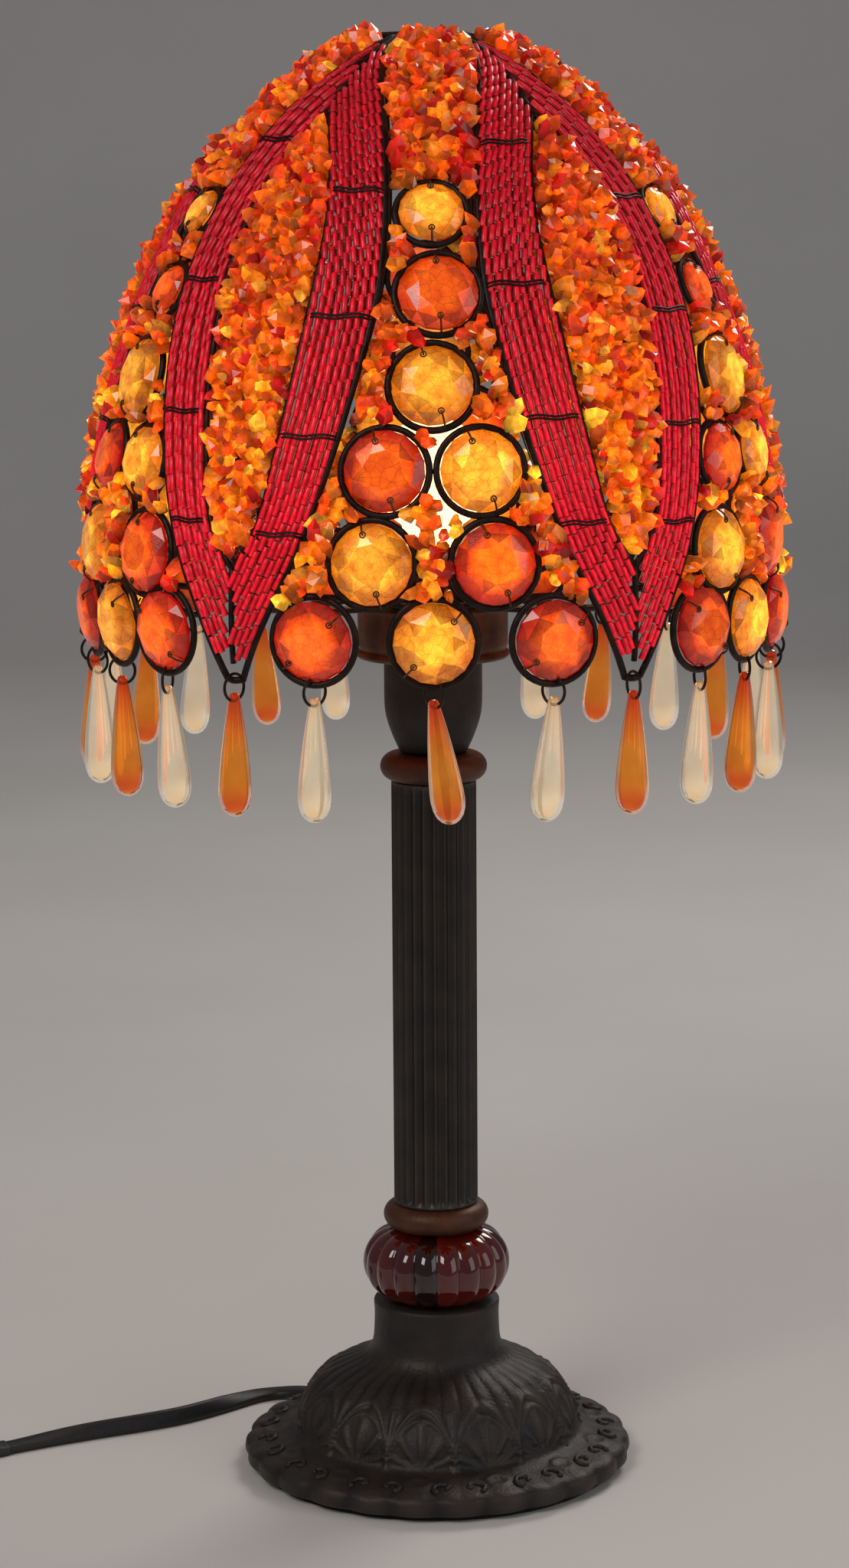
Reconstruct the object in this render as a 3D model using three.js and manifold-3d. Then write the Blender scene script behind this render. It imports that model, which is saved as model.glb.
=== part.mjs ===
// A table lamp: a domed wire shade filled with strung beads, on a cast column with a red glass ball.
// Millimetres, +Z up. Azimuths are degrees from the front (-Y) towards +X. The lamp stands on z = 0.
import * as THREE from "three";
import { mergeVertices } from "three/addons/utils/BufferGeometryUtils.js";
import Module from "manifold-3d";

const wasm = await Module();
wasm.setup();

// ---- driving dimensions -------------------------------------------------------------------------
const GAP = 0.3; // clearance between pieces that touch

const DOME_RADIUS = 118; // centreline of the frame wires at the widest height
const DOME_WIDEST_Z = 312;
const DOME_HEIGHT = 190;
const DOME_POWER = 1.94; // exponent of the dome's outline
const TOP_RING_Z = 499.3;
const TIP_Z = 295; // lowest wires of the shade, where the drops hang
const WIRE_RADIUS = 1.15;

const PETAL_AZIMUTHS = [-33, 33, 90, 147, -147, -90];
const SIDE_PETAL_SHARE = 0.85; // the two petals at the sides are this much narrower
// half width of a petal, in degrees, from its tip to the top ring
const PETAL_HALF = [
  [295, 1.4], [315, 6], [335, 11], [355, 14.8], [385, 19.2], [415, 22.6],
  [435, 23.1], [455, 21.8], [475, 17.8], [488, 11], [499, 3],
];
// half width of the inner leaf, in degrees
const LEAF_HALF = [
  [331, 0.4], [345, 4.5], [365, 6.7], [395, 9.1], [435, 10.7], [455, 8.3], [468, 3.6], [473, 0.4],
];
const LEAF_LOW_Z = 331;
const LEAF_HIGH_Z = 473;

const PANEL_AZIMUTHS = [0, 61.5, 118.5, 180, -118.5, -61.5];
const WIDE_PANEL_SIDE = 18.8; // azimuth from a panel's middle to the outer bottom discs
const NARROW_PANEL_SIDE = 14;
const DISC_RING_RADIUS = 14; // centreline of the wire ring around a 25 mm disc
const RING_SINK = 0.9; // a flat ring's middle lies this far inside the dome
const TIP_EYE_RADIUS = 3;
const STRAP_Z = 310;
const HANG_SLACK = 0.6; // air between a wire and the jump ring on it

const BEAD_INNER = 2.5; // the beadwork lies outside the wires
const BEAD_OUTER = 4.9;
const BEAD_LOW_Z = 299.5;
const BEAD_HIGH_Z = 494;

const DROP_LENGTH = 40;
const DROP_RADIUS = 5.5;
const JUMP_RING_RADIUS = 4.4;
const JUMP_WIRE_RADIUS = 0.5;

const FLANGE_RADIUS = 68.3;
const FELT_THICKNESS = 1.5;
const NECK_RADIUS = 22.2;
const BASE_TOP_Z = 60;
const BALL_RADIUS = 26;
const BALL_LOBES = 18;
const BALL_MIDDLE_Z = 73;
const COLLAR_RADIUS = 18.6;
const LOWER_COLLAR_Z = [86, 95];
const COLUMN_RADIUS = 14.8;
const COLUMN_FLUTES = 24;
const COLUMN_Z = [95 + GAP, 246.2];
const UPPER_COLLAR_Z = [246.5, 256];
const CUP_RADIUS = 17;
const CUP_TOP_Z = 289;
const DISH_RADIUS = 26;
const DISH_Z = [289.3, 308];
const PIPE_RADIUS = 5;
const PIPE_HOLE = PIPE_RADIUS + GAP;
const PIPE_Z = [44, 268];
const SOCKET_RADIUS = 13;
const SOCKET_Z = [268.4, 323];
const BULB_RADIUS = 20;
const BULB_MIDDLE_Z = 352;

const FITTER_RADIUS = 25;
const FITTER_WIRE = 1.2;
const FITTER_Z = DISH_Z[1] + GAP + FITTER_WIRE;
const ARM_END_Z = 318;

const CORD_WIDTH = 6.5;
const CORD_HEIGHT = 3.2;
const CORD_EXIT_AZIMUTH = -140;
const COIL_CENTRE = [-286, 2];
const COIL_RADII = [20, 44.5];
const COIL_HEIGHT = 6.8;
// the cord's middle from the base to the switch, from the switch to the coil, and from the coil to the plug
const CORD_RUN = [
  [-45.7, 54.5, 4.6], [-49.6, 59.2, 3.9], [-54.4, 62.6, 2.8], [-61, 63.6, 1.9], [-68.5, 60, 1.7],
  [-76, 52.6, 1.7], [-84.5, 44, 1.7], [-95, 35.6, 1.7], [-108.5, 28.4, 1.7], [-123, 22, 1.7],
  [-141, 13.6, 1.7], [-158, 4.4, 1.7], [-167, -0.8, 2.6], [-173.4, -4.6, 4.6],
];
const CORD_TAIL = [
  [-228.4, -37, 4.6], [-234, -40.3, 2.8], [-242, -43.8, 1.7], [-254, -46.6, 1.7], [-268, -47.6, 1.7],
  [-280, -46.9, 1.7],
];
const CORD_LEAD = [
  [-333.4, 10, 5], [-333.6, 17, 5], [-333.6, 24, 5.4], [-333.6, 30, 6.6],
];
const SWITCH_MIDDLE = [-200.9, -20.8];
const SWITCH_ANGLE = Math.atan2(-32.4, -55); // the cord's direction through the switch
const SWITCH_SIZE = [62, 25, 17];
const ROCKER_SIZE = [19, 11, 6];
const ROCKER_SWING_ROOM = 1.1;
const PLUG_BASE = [-333.6, 30.4];
const PLUG_Z = 7;

// ---- materials ----------------------------------------------------------------------------------
const finish = (color, roughness, metalness = 0, opacity = 1) => new THREE.MeshStandardMaterial({
  color, roughness, metalness, opacity, transparent: opacity < 1,
});
const BLACK_CAST = [0x17130f, 0.6, 0.3];
const RUST = [0x3a1a0c, 0.55, 0.2];
const BLACK_WIRE = [0x140d0a, 0.5, 0.6];
const CRIMSON = [0xa8061f, 0.2, 0];
const ORANGE_CHIPS = [0xe0701c, 0.25, 0];
const AMBER_DROP = [0xd9641a, 0.2, 0];
const PALE_DROP = [0xe6b98a, 0.35, 0];
const RUBBER = [0x0c0c0c, 0.55, 0];

// ---- helpers ------------------------------------------------------------------------------------
const root = new THREE.Group();
const radians = THREE.MathUtils.degToRad;

function add(name, geometry, look, place = {}) {
  const mesh = new THREE.Mesh(geometry, finish(...look));
  mesh.name = name;
  mesh.position.set(...(place.at ?? [0, 0, 0]));
  mesh.rotation.z = place.turn ?? 0;
  root.add(mesh);
}

// a copy of the geometry with shared corners joined
function joined(geometry) {
  const plain = geometry.clone();
  for (const extra of ["normal", "uv"]) plain.deleteAttribute(extra);
  return mergeVertices(plain, 1e-4);
}

function toManifold(geometry) {
  const mesh = joined(geometry);
  return new wasm.Manifold(new wasm.Mesh({
    numProp: 3,
    vertProperties: new Float32Array(mesh.attributes.position.array),
    triVerts: new Uint32Array(mesh.index.array),
  }));
}

function toGeometry(solid) {
  const mesh = solid.getMesh();
  const geometry = new THREE.BufferGeometry();
  geometry.setAttribute("position", new THREE.BufferAttribute(mesh.vertProperties, 3));
  geometry.setIndex(new THREE.BufferAttribute(mesh.triVerts, 1));
  const flat = geometry.toNonIndexed();
  flat.computeVertexNormals();
  return flat;
}

function union(geometries) {
  const whole = geometries.map(toManifold).reduce((left, right) => left.add(right));
  return toGeometry(whole);
}

function cut(geometry, tools) {
  const left = tools.map(toManifold).reduce((solid, tool) => solid.subtract(tool), toManifold(geometry));
  return toGeometry(left);
}

// a solid of revolution about Z; the outline is [radius, z] points, counter-clockwise, closed or on the axis
function lathe(outline, segments = 28) {
  const points = outline.map(([radius, z]) => new THREE.Vector2(radius, z));
  const onAxis = outline[0][0] === 0 && outline.at(-1)[0] === 0;
  if (!onAxis) points.push(points[0].clone());
  return joined(new THREE.LatheGeometry(points, segments).rotateX(Math.PI / 2));
}

// points on an arc, angles in degrees
function arc(centreRadius, centreZ, width, height, from, to, steps) {
  return Array.from({ length: steps + 1 }, (_, i) => {
    const angle = radians(from + ((to - from) * i) / steps);
    return [centreRadius + width * Math.cos(angle), centreZ + height * Math.sin(angle)];
  });
}

// a ring with a plain bore and a rounded outside
function roundedCollar(outer, bore, [low, high]) {
  const half = (high - low) / 2;
  return lathe([[bore, low], ...arc(outer - half, low + half, half, half, -90, 90, 6), [bore, high]], 24);
}

function polygon(sides, width, height = width) {
  return new THREE.Shape(Array.from({ length: sides }, (_, i) => {
    const angle = (2 * Math.PI * (i + 0.5)) / sides;
    return new THREE.Vector2(width * Math.cos(angle), height * Math.sin(angle));
  }));
}

function tube(points, section, steps) {
  const path = new THREE.CatmullRomCurve3(points.map((point) => new THREE.Vector3(...point)));
  return new THREE.ExtrudeGeometry(section, { extrudePath: path, steps, bevelEnabled: false });
}

// value at z in a list of [z, value], smoothed
function along(list, z) {
  const last = list.length - 1;
  if (z <= list[0][0]) return list[0][1];
  if (z >= list[last][0]) return list[last][1];
  const i = list.findIndex(([end]) => end > z) - 1;
  const t = (z - list[i][0]) / (list[i + 1][0] - list[i][0]);
  const slope = (k) => {
    const [before, after] = [list[Math.max(k - 1, 0)], list[Math.min(k + 1, last)]];
    return (after[1] - before[1]) / (after[0] - before[0]);
  };
  const span = list[i + 1][0] - list[i][0];
  const [rise, fall] = [t * t * (3 - 2 * t), t * (1 - t)];
  return list[i][1] * (1 - rise) + list[i + 1][1] * rise
    + span * fall * ((1 - t) * slope(i) - t * slope(i + 1));
}

// ---- dome ---------------------------------------------------------------------------------------
function domeRadius(z) {
  const up = Math.max(z - DOME_WIDEST_Z, 0) / DOME_HEIGHT;
  const tuck = Math.max(DOME_WIDEST_Z - z, 0) ** 2 / 160;
  return DOME_RADIUS * (1 - up ** DOME_POWER) ** (1 / DOME_POWER) - tuck;
}

// a point on the dome, moved out along its normal by offset
function onDome(azimuth, z, offset = 0) {
  const step = 0.2;
  const low = Math.min(z, TOP_RING_Z - step);
  const slope = (domeRadius(low + step) - domeRadius(low - step)) / (2 * step);
  const length = Math.hypot(1, slope);
  const radius = domeRadius(z) + offset / length;
  const turn = radians(azimuth);
  return [radius * Math.sin(turn), -radius * Math.cos(turn), z - (offset * slope) / length];
}

// where a drop hangs from the shade's lowest wires
function hangPoint(azimuth) {
  const radius = domeRadius(TIP_Z + DISC_RING_RADIUS) - RING_SINK;
  const turn = radians(azimuth);
  return [radius * Math.sin(turn), -radius * Math.cos(turn), TIP_Z];
}

const petalShare = (azimuth) => (Math.abs(azimuth) === 90 ? SIDE_PETAL_SHARE : 1);

// heights from low to high, closer together where the dome turns flat
function heights(low, high, count) {
  const angle = (z) => Math.asin(Math.min(Math.max((z - DOME_WIDEST_Z) / DOME_HEIGHT, -0.1), 1));
  const [from, to] = [angle(low), angle(high)];
  return Array.from({ length: count }, (_, i) => {
    const z = DOME_WIDEST_Z + DOME_HEIGHT * Math.sin(from + ((to - from) * i) / (count - 1));
    return Math.min(Math.max(z, low), high);
  });
}

function wireOnDome(azimuthAt, low, high, count) {
  const points = heights(low, high, count).map((z) => onDome(azimuthAt(z), z));
  return tube(points, polygon(4, WIRE_RADIUS), count);
}

// an upright wire ring whose lowest point is where a drop hangs
function hangingRing(azimuth, radius, segments) {
  const ring = new THREE.TorusGeometry(radius, WIRE_RADIUS, 4, segments).rotateX(Math.PI / 2);
  return ring.rotateZ(radians(azimuth)).translate(...hangPoint(azimuth)).translate(0, 0, radius);
}

function petalWires(middle) {
  const share = petalShare(middle);
  const wires = [];
  for (const side of [-1, 1]) {
    const outer = (z) => middle + side * share * along(PETAL_HALF, z);
    const inner = (z) => middle + side * share * along(LEAF_HALF, z);
    wires.push(wireOnDome(outer, TIP_Z + 0.8, TOP_RING_Z, 15));
    wires.push(wireOnDome(inner, LEAF_LOW_Z, LEAF_HIGH_Z, 9));
  }
  wires.push(wireOnDome(() => middle, TIP_Z + 2 * TIP_EYE_RADIUS, LEAF_LOW_Z, 3));
  wires.push(wireOnDome(() => middle, LEAF_HIGH_Z, TOP_RING_Z, 3));
  return wires;
}

// the azimuths of the discs in a panel's bottom row
function bottomRow(middle) {
  const side = middle % 180 === 0 ? WIDE_PANEL_SIDE : NARROW_PANEL_SIDE;
  return [middle - side, middle, middle + side];
}

function shadeFrame() {
  const top = new THREE.TorusGeometry(domeRadius(TOP_RING_Z), WIRE_RADIUS * 1.3, 4, 20);
  const wires = [top.translate(0, 0, TOP_RING_Z)];
  for (const petal of PETAL_AZIMUTHS) {
    wires.push(...petalWires(petal));
    wires.push(hangingRing(petal, TIP_EYE_RADIUS, 8));
  }
  for (const azimuth of PANEL_AZIMUTHS.flatMap(bottomRow)) {
    wires.push(hangingRing(azimuth, DISC_RING_RADIUS, 12));
  }
  // straps weld each panel's rings to the wires of its petals
  for (const panel of PANEL_AZIMUTHS) {
    const side = panel % 180 === 0 ? WIDE_PANEL_SIDE + 9.5 : NARROW_PANEL_SIDE + 9.5;
    const strap = [-1, -0.5, 0, 0.5, 1].map((part) => onDome(panel + part * side, STRAP_Z, -1.6 * RING_SINK));
    wires.push(tube(strap, polygon(4, WIRE_RADIUS * 0.9), 6));
  }
  return union(wires);
}

// ---- beadwork -----------------------------------------------------------------------------------
// a thin curved plate on the dome between two azimuths that change with height
function gore(leftAt, rightAt, low, high, columns, rows) {
  const levels = heights(low, high, rows + 1);
  const geometry = new THREE.BoxGeometry(1, 1, 1, columns, rows, 1);
  const corner = geometry.attributes.position;
  for (let i = 0; i < corner.count; i++) {
    const z = levels[Math.round((corner.getY(i) + 0.5) * rows)];
    const across = corner.getX(i) + 0.5;
    const azimuth = leftAt(z) * (1 - across) + rightAt(z) * across;
    corner.setXYZ(i, ...onDome(azimuth, z, corner.getZ(i) > 0 ? BEAD_OUTER : BEAD_INNER));
  }
  return joined(geometry);
}

// the angle that keeps a plate half a wire and a gap away from a wire
const clearOf = (z) => THREE.MathUtils.radToDeg(1 / domeRadius(z));

function petalBeadwork(middle) {
  const half = (z) => Math.max(petalShare(middle) * along(PETAL_HALF, z) - clearOf(z), 0.6);
  return gore((z) => middle - half(z), (z) => middle + half(z), 303, 491, 4, 12);
}

function panelBeadwork(panel) {
  const nearest = (side) => {
    const reach = panel % 180 === 0 ? 33 : 28.5;
    const petal = panel + side * reach;
    const around = THREE.MathUtils.euclideanModulo(petal + 180, 360) - 180;
    const share = petalShare(Math.round(around));
    return (z) => petal - side * (share * along(PETAL_HALF, z) + clearOf(z));
  };
  return gore(nearest(-1), nearest(1), BEAD_LOW_Z, BEAD_HIGH_Z, 6, 10);
}

// ---- drops --------------------------------------------------------------------------------------
// a glass drop on its jump ring, hanging from a wire at the origin
function pendant() {
  const ring = new THREE.TorusGeometry(JUMP_RING_RADIUS, JUMP_WIRE_RADIUS, 3, 10).rotateY(Math.PI / 2);
  const middle = WIRE_RADIUS + HANG_SLACK + JUMP_WIRE_RADIUS - JUMP_RING_RADIUS;
  ring.translate(0, 0, middle);
  const top = middle - JUMP_RING_RADIUS + 2.4;
  const low = top - DROP_LENGTH;
  const drop = lathe([
    [0, low],
    ...arc(0, low + DROP_RADIUS * 1.3, DROP_RADIUS, DROP_RADIUS * 1.3, -45, 10, 2),
    [4.4, low + DROP_LENGTH * 0.5], [1.7, top - 1.5], [0, top],
  ], 6);
  return union([ring, drop]);
}

function hangDrops() {
  const places = [
    ...PETAL_AZIMUTHS.map((azimuth) => ({ azimuth, look: AMBER_DROP })),
    ...PANEL_AZIMUTHS.flatMap((panel) => bottomRow(panel).map((azimuth, i) => (
      { azimuth, look: i === 1 ? AMBER_DROP : PALE_DROP }
    ))),
  ].sort((one, other) => one.azimuth - other.azimuth);
  places.forEach(({ azimuth, look }, i) => {
    const name = `drop_${String(i + 1).padStart(2, "0")}`;
    add(name, pendant(), look, { at: hangPoint(azimuth), turn: radians(azimuth) });
  });
}

// ---- fitter -------------------------------------------------------------------------------------
function fitter() {
  const pieces = [new THREE.TorusGeometry(FITTER_RADIUS, FITTER_WIRE, 4, 24).translate(0, 0, FITTER_Z)];
  for (const azimuth of PETAL_AZIMUTHS) {
    const turn = radians(azimuth);
    const point = (radius, z) => [radius * Math.sin(turn), -radius * Math.cos(turn), z];
    const end = domeRadius(ARM_END_Z) - WIRE_RADIUS - GAP - 0.4;
    const arm = [point(FITTER_RADIUS, FITTER_Z), point(60, FITTER_Z + 2), point(end, ARM_END_Z)];
    pieces.push(tube(arm, polygon(4, FITTER_WIRE), 4));
  }
  return union(pieces);
}

// ---- stand --------------------------------------------------------------------------------------
function baseCasting() {
  const bell = [[46.5, 24], [43.4, 28.4], [39.4, 32.4], [33, 36.2], [26.5, 39], [23.4, 42]];
  const shell = lathe([
    [61, FELT_THICKNESS + GAP], [66.5, FELT_THICKNESS + GAP],
    ...arc(FLANGE_RADIUS - 2.4, 6.4, 2.4, 2.8, -50, 70, 3),
    [60, 11], [52, 12.6], [49.6, 16], [48.6, 20], ...bell,
    [NECK_RADIUS, 45], [NECK_RADIUS, BASE_TOP_Z], [PIPE_HOLE, BASE_TOP_Z], [PIPE_HOLE, 54],
    [18, 54], [18, 44], [24, 35.6], [32, 32.4], [40, 26], [44.6, 18], [45.6, 9], [61, 7.4],
  ], 40);
  const slot = new THREE.BoxGeometry(9.4, 24, 7.6).translate(0, -64, 3.8);
  return cut(shell, [slot.rotateZ(radians(CORD_EXIT_AZIMUTH))]);
}

function grommet() {
  const block = new THREE.BoxGeometry(8.8, 8, 5.2).translate(0, -66.6, 4.7);
  const hole = new THREE.ExtrudeGeometry(polygon(12, 3.6, 1.9), { depth: 20, bevelEnabled: false });
  const bore = hole.rotateX(Math.PI / 2).translate(0, -56, 4.6);
  return cut(block, [bore]).rotateZ(radians(CORD_EXIT_AZIMUTH));
}

function hexNut(across, bore, [low, high]) {
  const shape = polygon(6, across / Math.sqrt(3));
  shape.holes.push(new THREE.Path(polygon(16, bore).getPoints()));
  return new THREE.ExtrudeGeometry(shape, { depth: high - low, bevelEnabled: false }).translate(0, 0, low);
}

function glassBall() {
  const wall = 3;
  const outer = arc(10, BALL_MIDDLE_Z, BALL_RADIUS - 10, 12.6, -90, 90, 8);
  const inner = arc(10, BALL_MIDDLE_Z, BALL_RADIUS - 10 - wall, 12.6 - wall, 90, -90, 5);
  const ball = lathe([...outer, ...inner], BALL_LOBES * 2);
  const corner = ball.attributes.position;
  for (let i = 0; i < corner.count; i++) {
    const [x, y] = [corner.getX(i), corner.getY(i)];
    const swell = 1 - 0.03 * (1 - Math.abs(Math.cos((Math.atan2(y, x) * BALL_LOBES) / 2)));
    corner.setXY(i, x * swell, y * swell);
  }
  return ball;
}

function flutedColumn() {
  const outline = Array.from({ length: COLUMN_FLUTES * 4 }, (_, i) => {
    const angle = (2 * Math.PI * i) / (COLUMN_FLUTES * 4);
    const radius = COLUMN_RADIUS - (i % 4 === 0 ? 0 : [0, 0.9, 1.2, 0.9][i % 4]);
    return new THREE.Vector2(radius * Math.cos(angle), radius * Math.sin(angle));
  });
  const shape = new THREE.Shape(outline);
  shape.holes.push(new THREE.Path(polygon(24, 9).getPoints()));
  const depth = COLUMN_Z[1] - COLUMN_Z[0];
  return new THREE.ExtrudeGeometry(shape, { depth, bevelEnabled: false }).translate(0, 0, COLUMN_Z[0]);
}

function socketCup() {
  const low = UPPER_COLLAR_Z[1] + GAP;
  return lathe([
    [PIPE_HOLE, low], [11.6, low], [13.9, 261.2], [15.7, 266], [CUP_RADIUS, 271.5], [CUP_RADIUS, CUP_TOP_Z],
    [CUP_RADIUS - 1.5, CUP_TOP_Z], [CUP_RADIUS - 1.5, 272], [13.4, 265], [10.6, low + 1.5],
    [PIPE_HOLE, low + 1.5],
  ]);
}

function galleryDish() {
  const [low, high] = DISH_Z;
  const hole = SOCKET_RADIUS + GAP;
  return lathe([
    [hole, low], [DISH_RADIUS - 1, low], [DISH_RADIUS + 0.6, low + 1.2], [DISH_RADIUS - 0.4, low + 3],
    [DISH_RADIUS, low + 5], [DISH_RADIUS, high - 1], [DISH_RADIUS - 0.8, high], [DISH_RADIUS - 1.6, high - 1],
    [DISH_RADIUS - 1.6, low + 2], [hole, low + 2],
  ]);
}

function socketBody() {
  const [low, high] = SOCKET_Z;
  return lathe([
    [0, low], [SOCKET_RADIUS - 1.5, low], [SOCKET_RADIUS, low + 2], [SOCKET_RADIUS, high],
    [9.6, high], [9.6, 296], [0, 296],
  ], 24);
}

function bulbGlass() {
  const neck = 9;
  const wall = 1;
  const start = 328;
  const outer = arc(0, BULB_MIDDLE_Z, BULB_RADIUS, BULB_RADIUS, -62, 90, 8);
  const inner = arc(0, BULB_MIDDLE_Z, BULB_RADIUS - wall, BULB_RADIUS - wall, 90, -62, 5);
  outer.at(-1)[0] = 0;
  inner[0][0] = 0;
  return lathe([...inner, [neck - wall, start], [neck, start], ...outer], 20);
}

// ---- cord ---------------------------------------------------------------------------------------
const cordSection = () => polygon(8, CORD_HEIGHT / 2, CORD_WIDTH / 2);

function coil() {
  const [inner, outer] = COIL_RADII;
  const rim = CORD_HEIGHT / 2;
  const outline = [
    [inner, 0.1 + rim], [inner + rim, 0.1], [outer - rim, 0.1], [outer, 0.1 + rim],
    [outer, COIL_HEIGHT - rim], [outer - rim, COIL_HEIGHT], [inner + rim, COIL_HEIGHT],
    [inner, COIL_HEIGHT - rim],
  ];
  return lathe(outline, 36).translate(...COIL_CENTRE, 0);
}

function roundedBlock([length, width, height], corner) {
  const [x, y] = [length / 2 - corner, width / 2 - corner];
  const shape = new THREE.Shape();
  shape.absarc(x, y, corner, 0, Math.PI / 2);
  shape.absarc(-x, y, corner, Math.PI / 2, Math.PI);
  shape.absarc(-x, -y, corner, Math.PI, 1.5 * Math.PI);
  shape.absarc(x, -y, corner, 1.5 * Math.PI, 2 * Math.PI);
  return new THREE.ExtrudeGeometry(shape, { depth: height, bevelEnabled: false, curveSegments: 4 });
}

function switchCase() {
  const shell = roundedBlock(SWITCH_SIZE, 8);
  const [length, width] = [ROCKER_SIZE[0] + 2 * ROCKER_SWING_ROOM, ROCKER_SIZE[1] + 2 * GAP];
  const pocket = new THREE.BoxGeometry(length, width, 14.4).translate(0, 0, SWITCH_SIZE[2]);
  const ends = [-1, 1].map((side) => {
    const bore = new THREE.BoxGeometry(10, CORD_WIDTH + 1, CORD_HEIGHT + 1);
    return bore.translate(side * (SWITCH_SIZE[0] / 2 - 1), 0, 4.6);
  });
  return cut(shell, [pocket, ...ends]);
}

// a rocker with its high end towards the plug; its pivot is at the origin
function rocker() {
  const [length, width, height] = ROCKER_SIZE;
  const side = new THREE.Shape();
  side.moveTo(-length / 2 + 0.6, -height / 2);
  side.lineTo(length / 2 - 0.6, -height / 2);
  side.lineTo(length / 2 - 0.4, 1.2);
  side.lineTo(0, 2.2);
  side.lineTo(-length / 2 + 0.4, 4.6);
  side.closePath();
  const body = new THREE.ExtrudeGeometry(side, { depth: width - 1, bevelEnabled: false });
  return body.translate(0, 0, -(width - 1) / 2).rotateX(Math.PI / 2);
}

function plug() {
  const stem = new THREE.CylinderGeometry(5.4, 4, 10, 12).translate(0, 5, 0);
  const grip = roundedBlock([35, 13.6, 26], 5.5).rotateX(-Math.PI / 2).translate(0, 9, 0);
  const pins = [-9.5, 9.5].map((x) => new THREE.CylinderGeometry(2, 2, 20, 10).translate(x, 44.5, 0));
  return union([stem, grip, ...pins]);
}

// ---- the lamp -----------------------------------------------------------------------------------
add("felt_pad", lathe([[0, 0], [64, 0], [64, FELT_THICKNESS], [0, FELT_THICKNESS]], 48), [0x1c1a17, 1, 0]);
add("base_casting", baseCasting(), BLACK_CAST);
add("base_nut", hexNut(17, PIPE_HOLE, [46, 54 - GAP]), [0x8a7a52, 0.4, 0.9]);
add("lamp_pipe", lathe([[3.5, PIPE_Z[0]], [PIPE_RADIUS, PIPE_Z[0]], [PIPE_RADIUS, PIPE_Z[1]],
  [3.5, PIPE_Z[1]]], 20), [0x8c8c88, 0.35, 0.9]);
add("glass_ball", glassBall(), [0x7d0d18, 0.08, 0]);
add("lower_collar", roundedCollar(COLLAR_RADIUS, PIPE_HOLE, LOWER_COLLAR_Z), RUST);
add("column", flutedColumn(), BLACK_CAST);
add("upper_collar", roundedCollar(COLLAR_RADIUS, PIPE_HOLE, UPPER_COLLAR_Z), RUST);
add("socket_cup", socketCup(), BLACK_CAST);
add("gallery_dish", galleryDish(), [0x4a2a18, 0.45, 0.4]);
add("socket_body", socketBody(), [0x1a1614, 0.4, 0]);
add("socket_shell", lathe([[7.6, 300], [9.3, 300], [9.3, 322.4], [7.6, 322.4]], 24), [0xb08a45, 0.3, 1]);
add("bulb_cap", lathe([[0, 298], [4, 298], [7.2, 301], [7.2, 326.6], [8.6, 327.7], [0, 327.7]], 24),
  [0xc4c2bd, 0.3, 1]);
add("bulb_glass", bulbGlass(), [0xfff1d6, 0.1, 0]);

add("shade_frame", shadeFrame(), BLACK_WIRE);
add("fitter", fitter(), BLACK_WIRE);
PETAL_AZIMUTHS.forEach((azimuth, i) => add(`petal_beadwork_${i + 1}`, petalBeadwork(azimuth), CRIMSON));
PANEL_AZIMUTHS.forEach((azimuth, i) => add(`panel_beadwork_${i + 1}`, panelBeadwork(azimuth), ORANGE_CHIPS));
hangDrops();

add("cord_grommet", grommet(), RUBBER);
add("cord_run", tube(CORD_RUN, cordSection(), 36), RUBBER);
const switchPlace = { at: [...SWITCH_MIDDLE, 0], turn: SWITCH_ANGLE };
add("switch_case", switchCase(), RUBBER, switchPlace);
add("switch_rocker", rocker(), [0x1a1a1a, 0.35, 0],
  { at: [...SWITCH_MIDDLE, SWITCH_SIZE[2] - 1.6], turn: SWITCH_ANGLE });
add("cord_tail", tube(CORD_TAIL, cordSection(), 16), RUBBER);
add("cord_coil", coil(), RUBBER);
add("cord_lead", tube(CORD_LEAD, cordSection(), 10), RUBBER);
add("plug", plug(), RUBBER, { at: [...PLUG_BASE, PLUG_Z] });

export default root;
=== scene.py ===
"""A table lamp: a domed wire shade filled with strung beads and faceted discs, hung with glass drops,
on a fluted column with a ribbed glass ball. Metres, +Z up; azimuths in degrees from the front (-Y)
towards +X."""
import math
import random

import bpy
import numpy as np
from mathutils import Matrix, Vector


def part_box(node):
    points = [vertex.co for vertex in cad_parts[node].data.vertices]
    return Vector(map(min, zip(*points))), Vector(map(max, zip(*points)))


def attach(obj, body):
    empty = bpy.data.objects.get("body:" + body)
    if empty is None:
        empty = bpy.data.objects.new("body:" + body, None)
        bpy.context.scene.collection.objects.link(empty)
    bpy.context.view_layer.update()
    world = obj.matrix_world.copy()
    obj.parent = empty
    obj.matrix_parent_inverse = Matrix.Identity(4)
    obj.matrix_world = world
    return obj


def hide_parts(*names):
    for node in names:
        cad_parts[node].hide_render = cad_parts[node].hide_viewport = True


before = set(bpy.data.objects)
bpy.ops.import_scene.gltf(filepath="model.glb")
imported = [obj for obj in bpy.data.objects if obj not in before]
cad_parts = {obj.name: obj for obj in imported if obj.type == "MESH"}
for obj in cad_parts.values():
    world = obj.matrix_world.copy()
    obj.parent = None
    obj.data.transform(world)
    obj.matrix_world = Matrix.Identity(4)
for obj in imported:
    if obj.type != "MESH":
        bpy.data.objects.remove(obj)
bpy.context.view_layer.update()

random.seed(11)
MM = 0.001

# ---- driving dimensions ----
WIRE = 1.15 * MM
frame_low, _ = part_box("shade_frame")
DOME_RADIUS = 118 * MM
DOME_WIDEST_Z = 312 * MM
DOME_HEIGHT = 190 * MM
DOME_POWER = 1.94
TOP_RING_Z = 499.3 * MM
TIP_Z = frame_low.z + WIRE
RING_SINK = 0.9 * MM

PETALS = (-33, 33, 90, 147, -147, -90)
SIDE_PETAL_SHARE = 0.85
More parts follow.
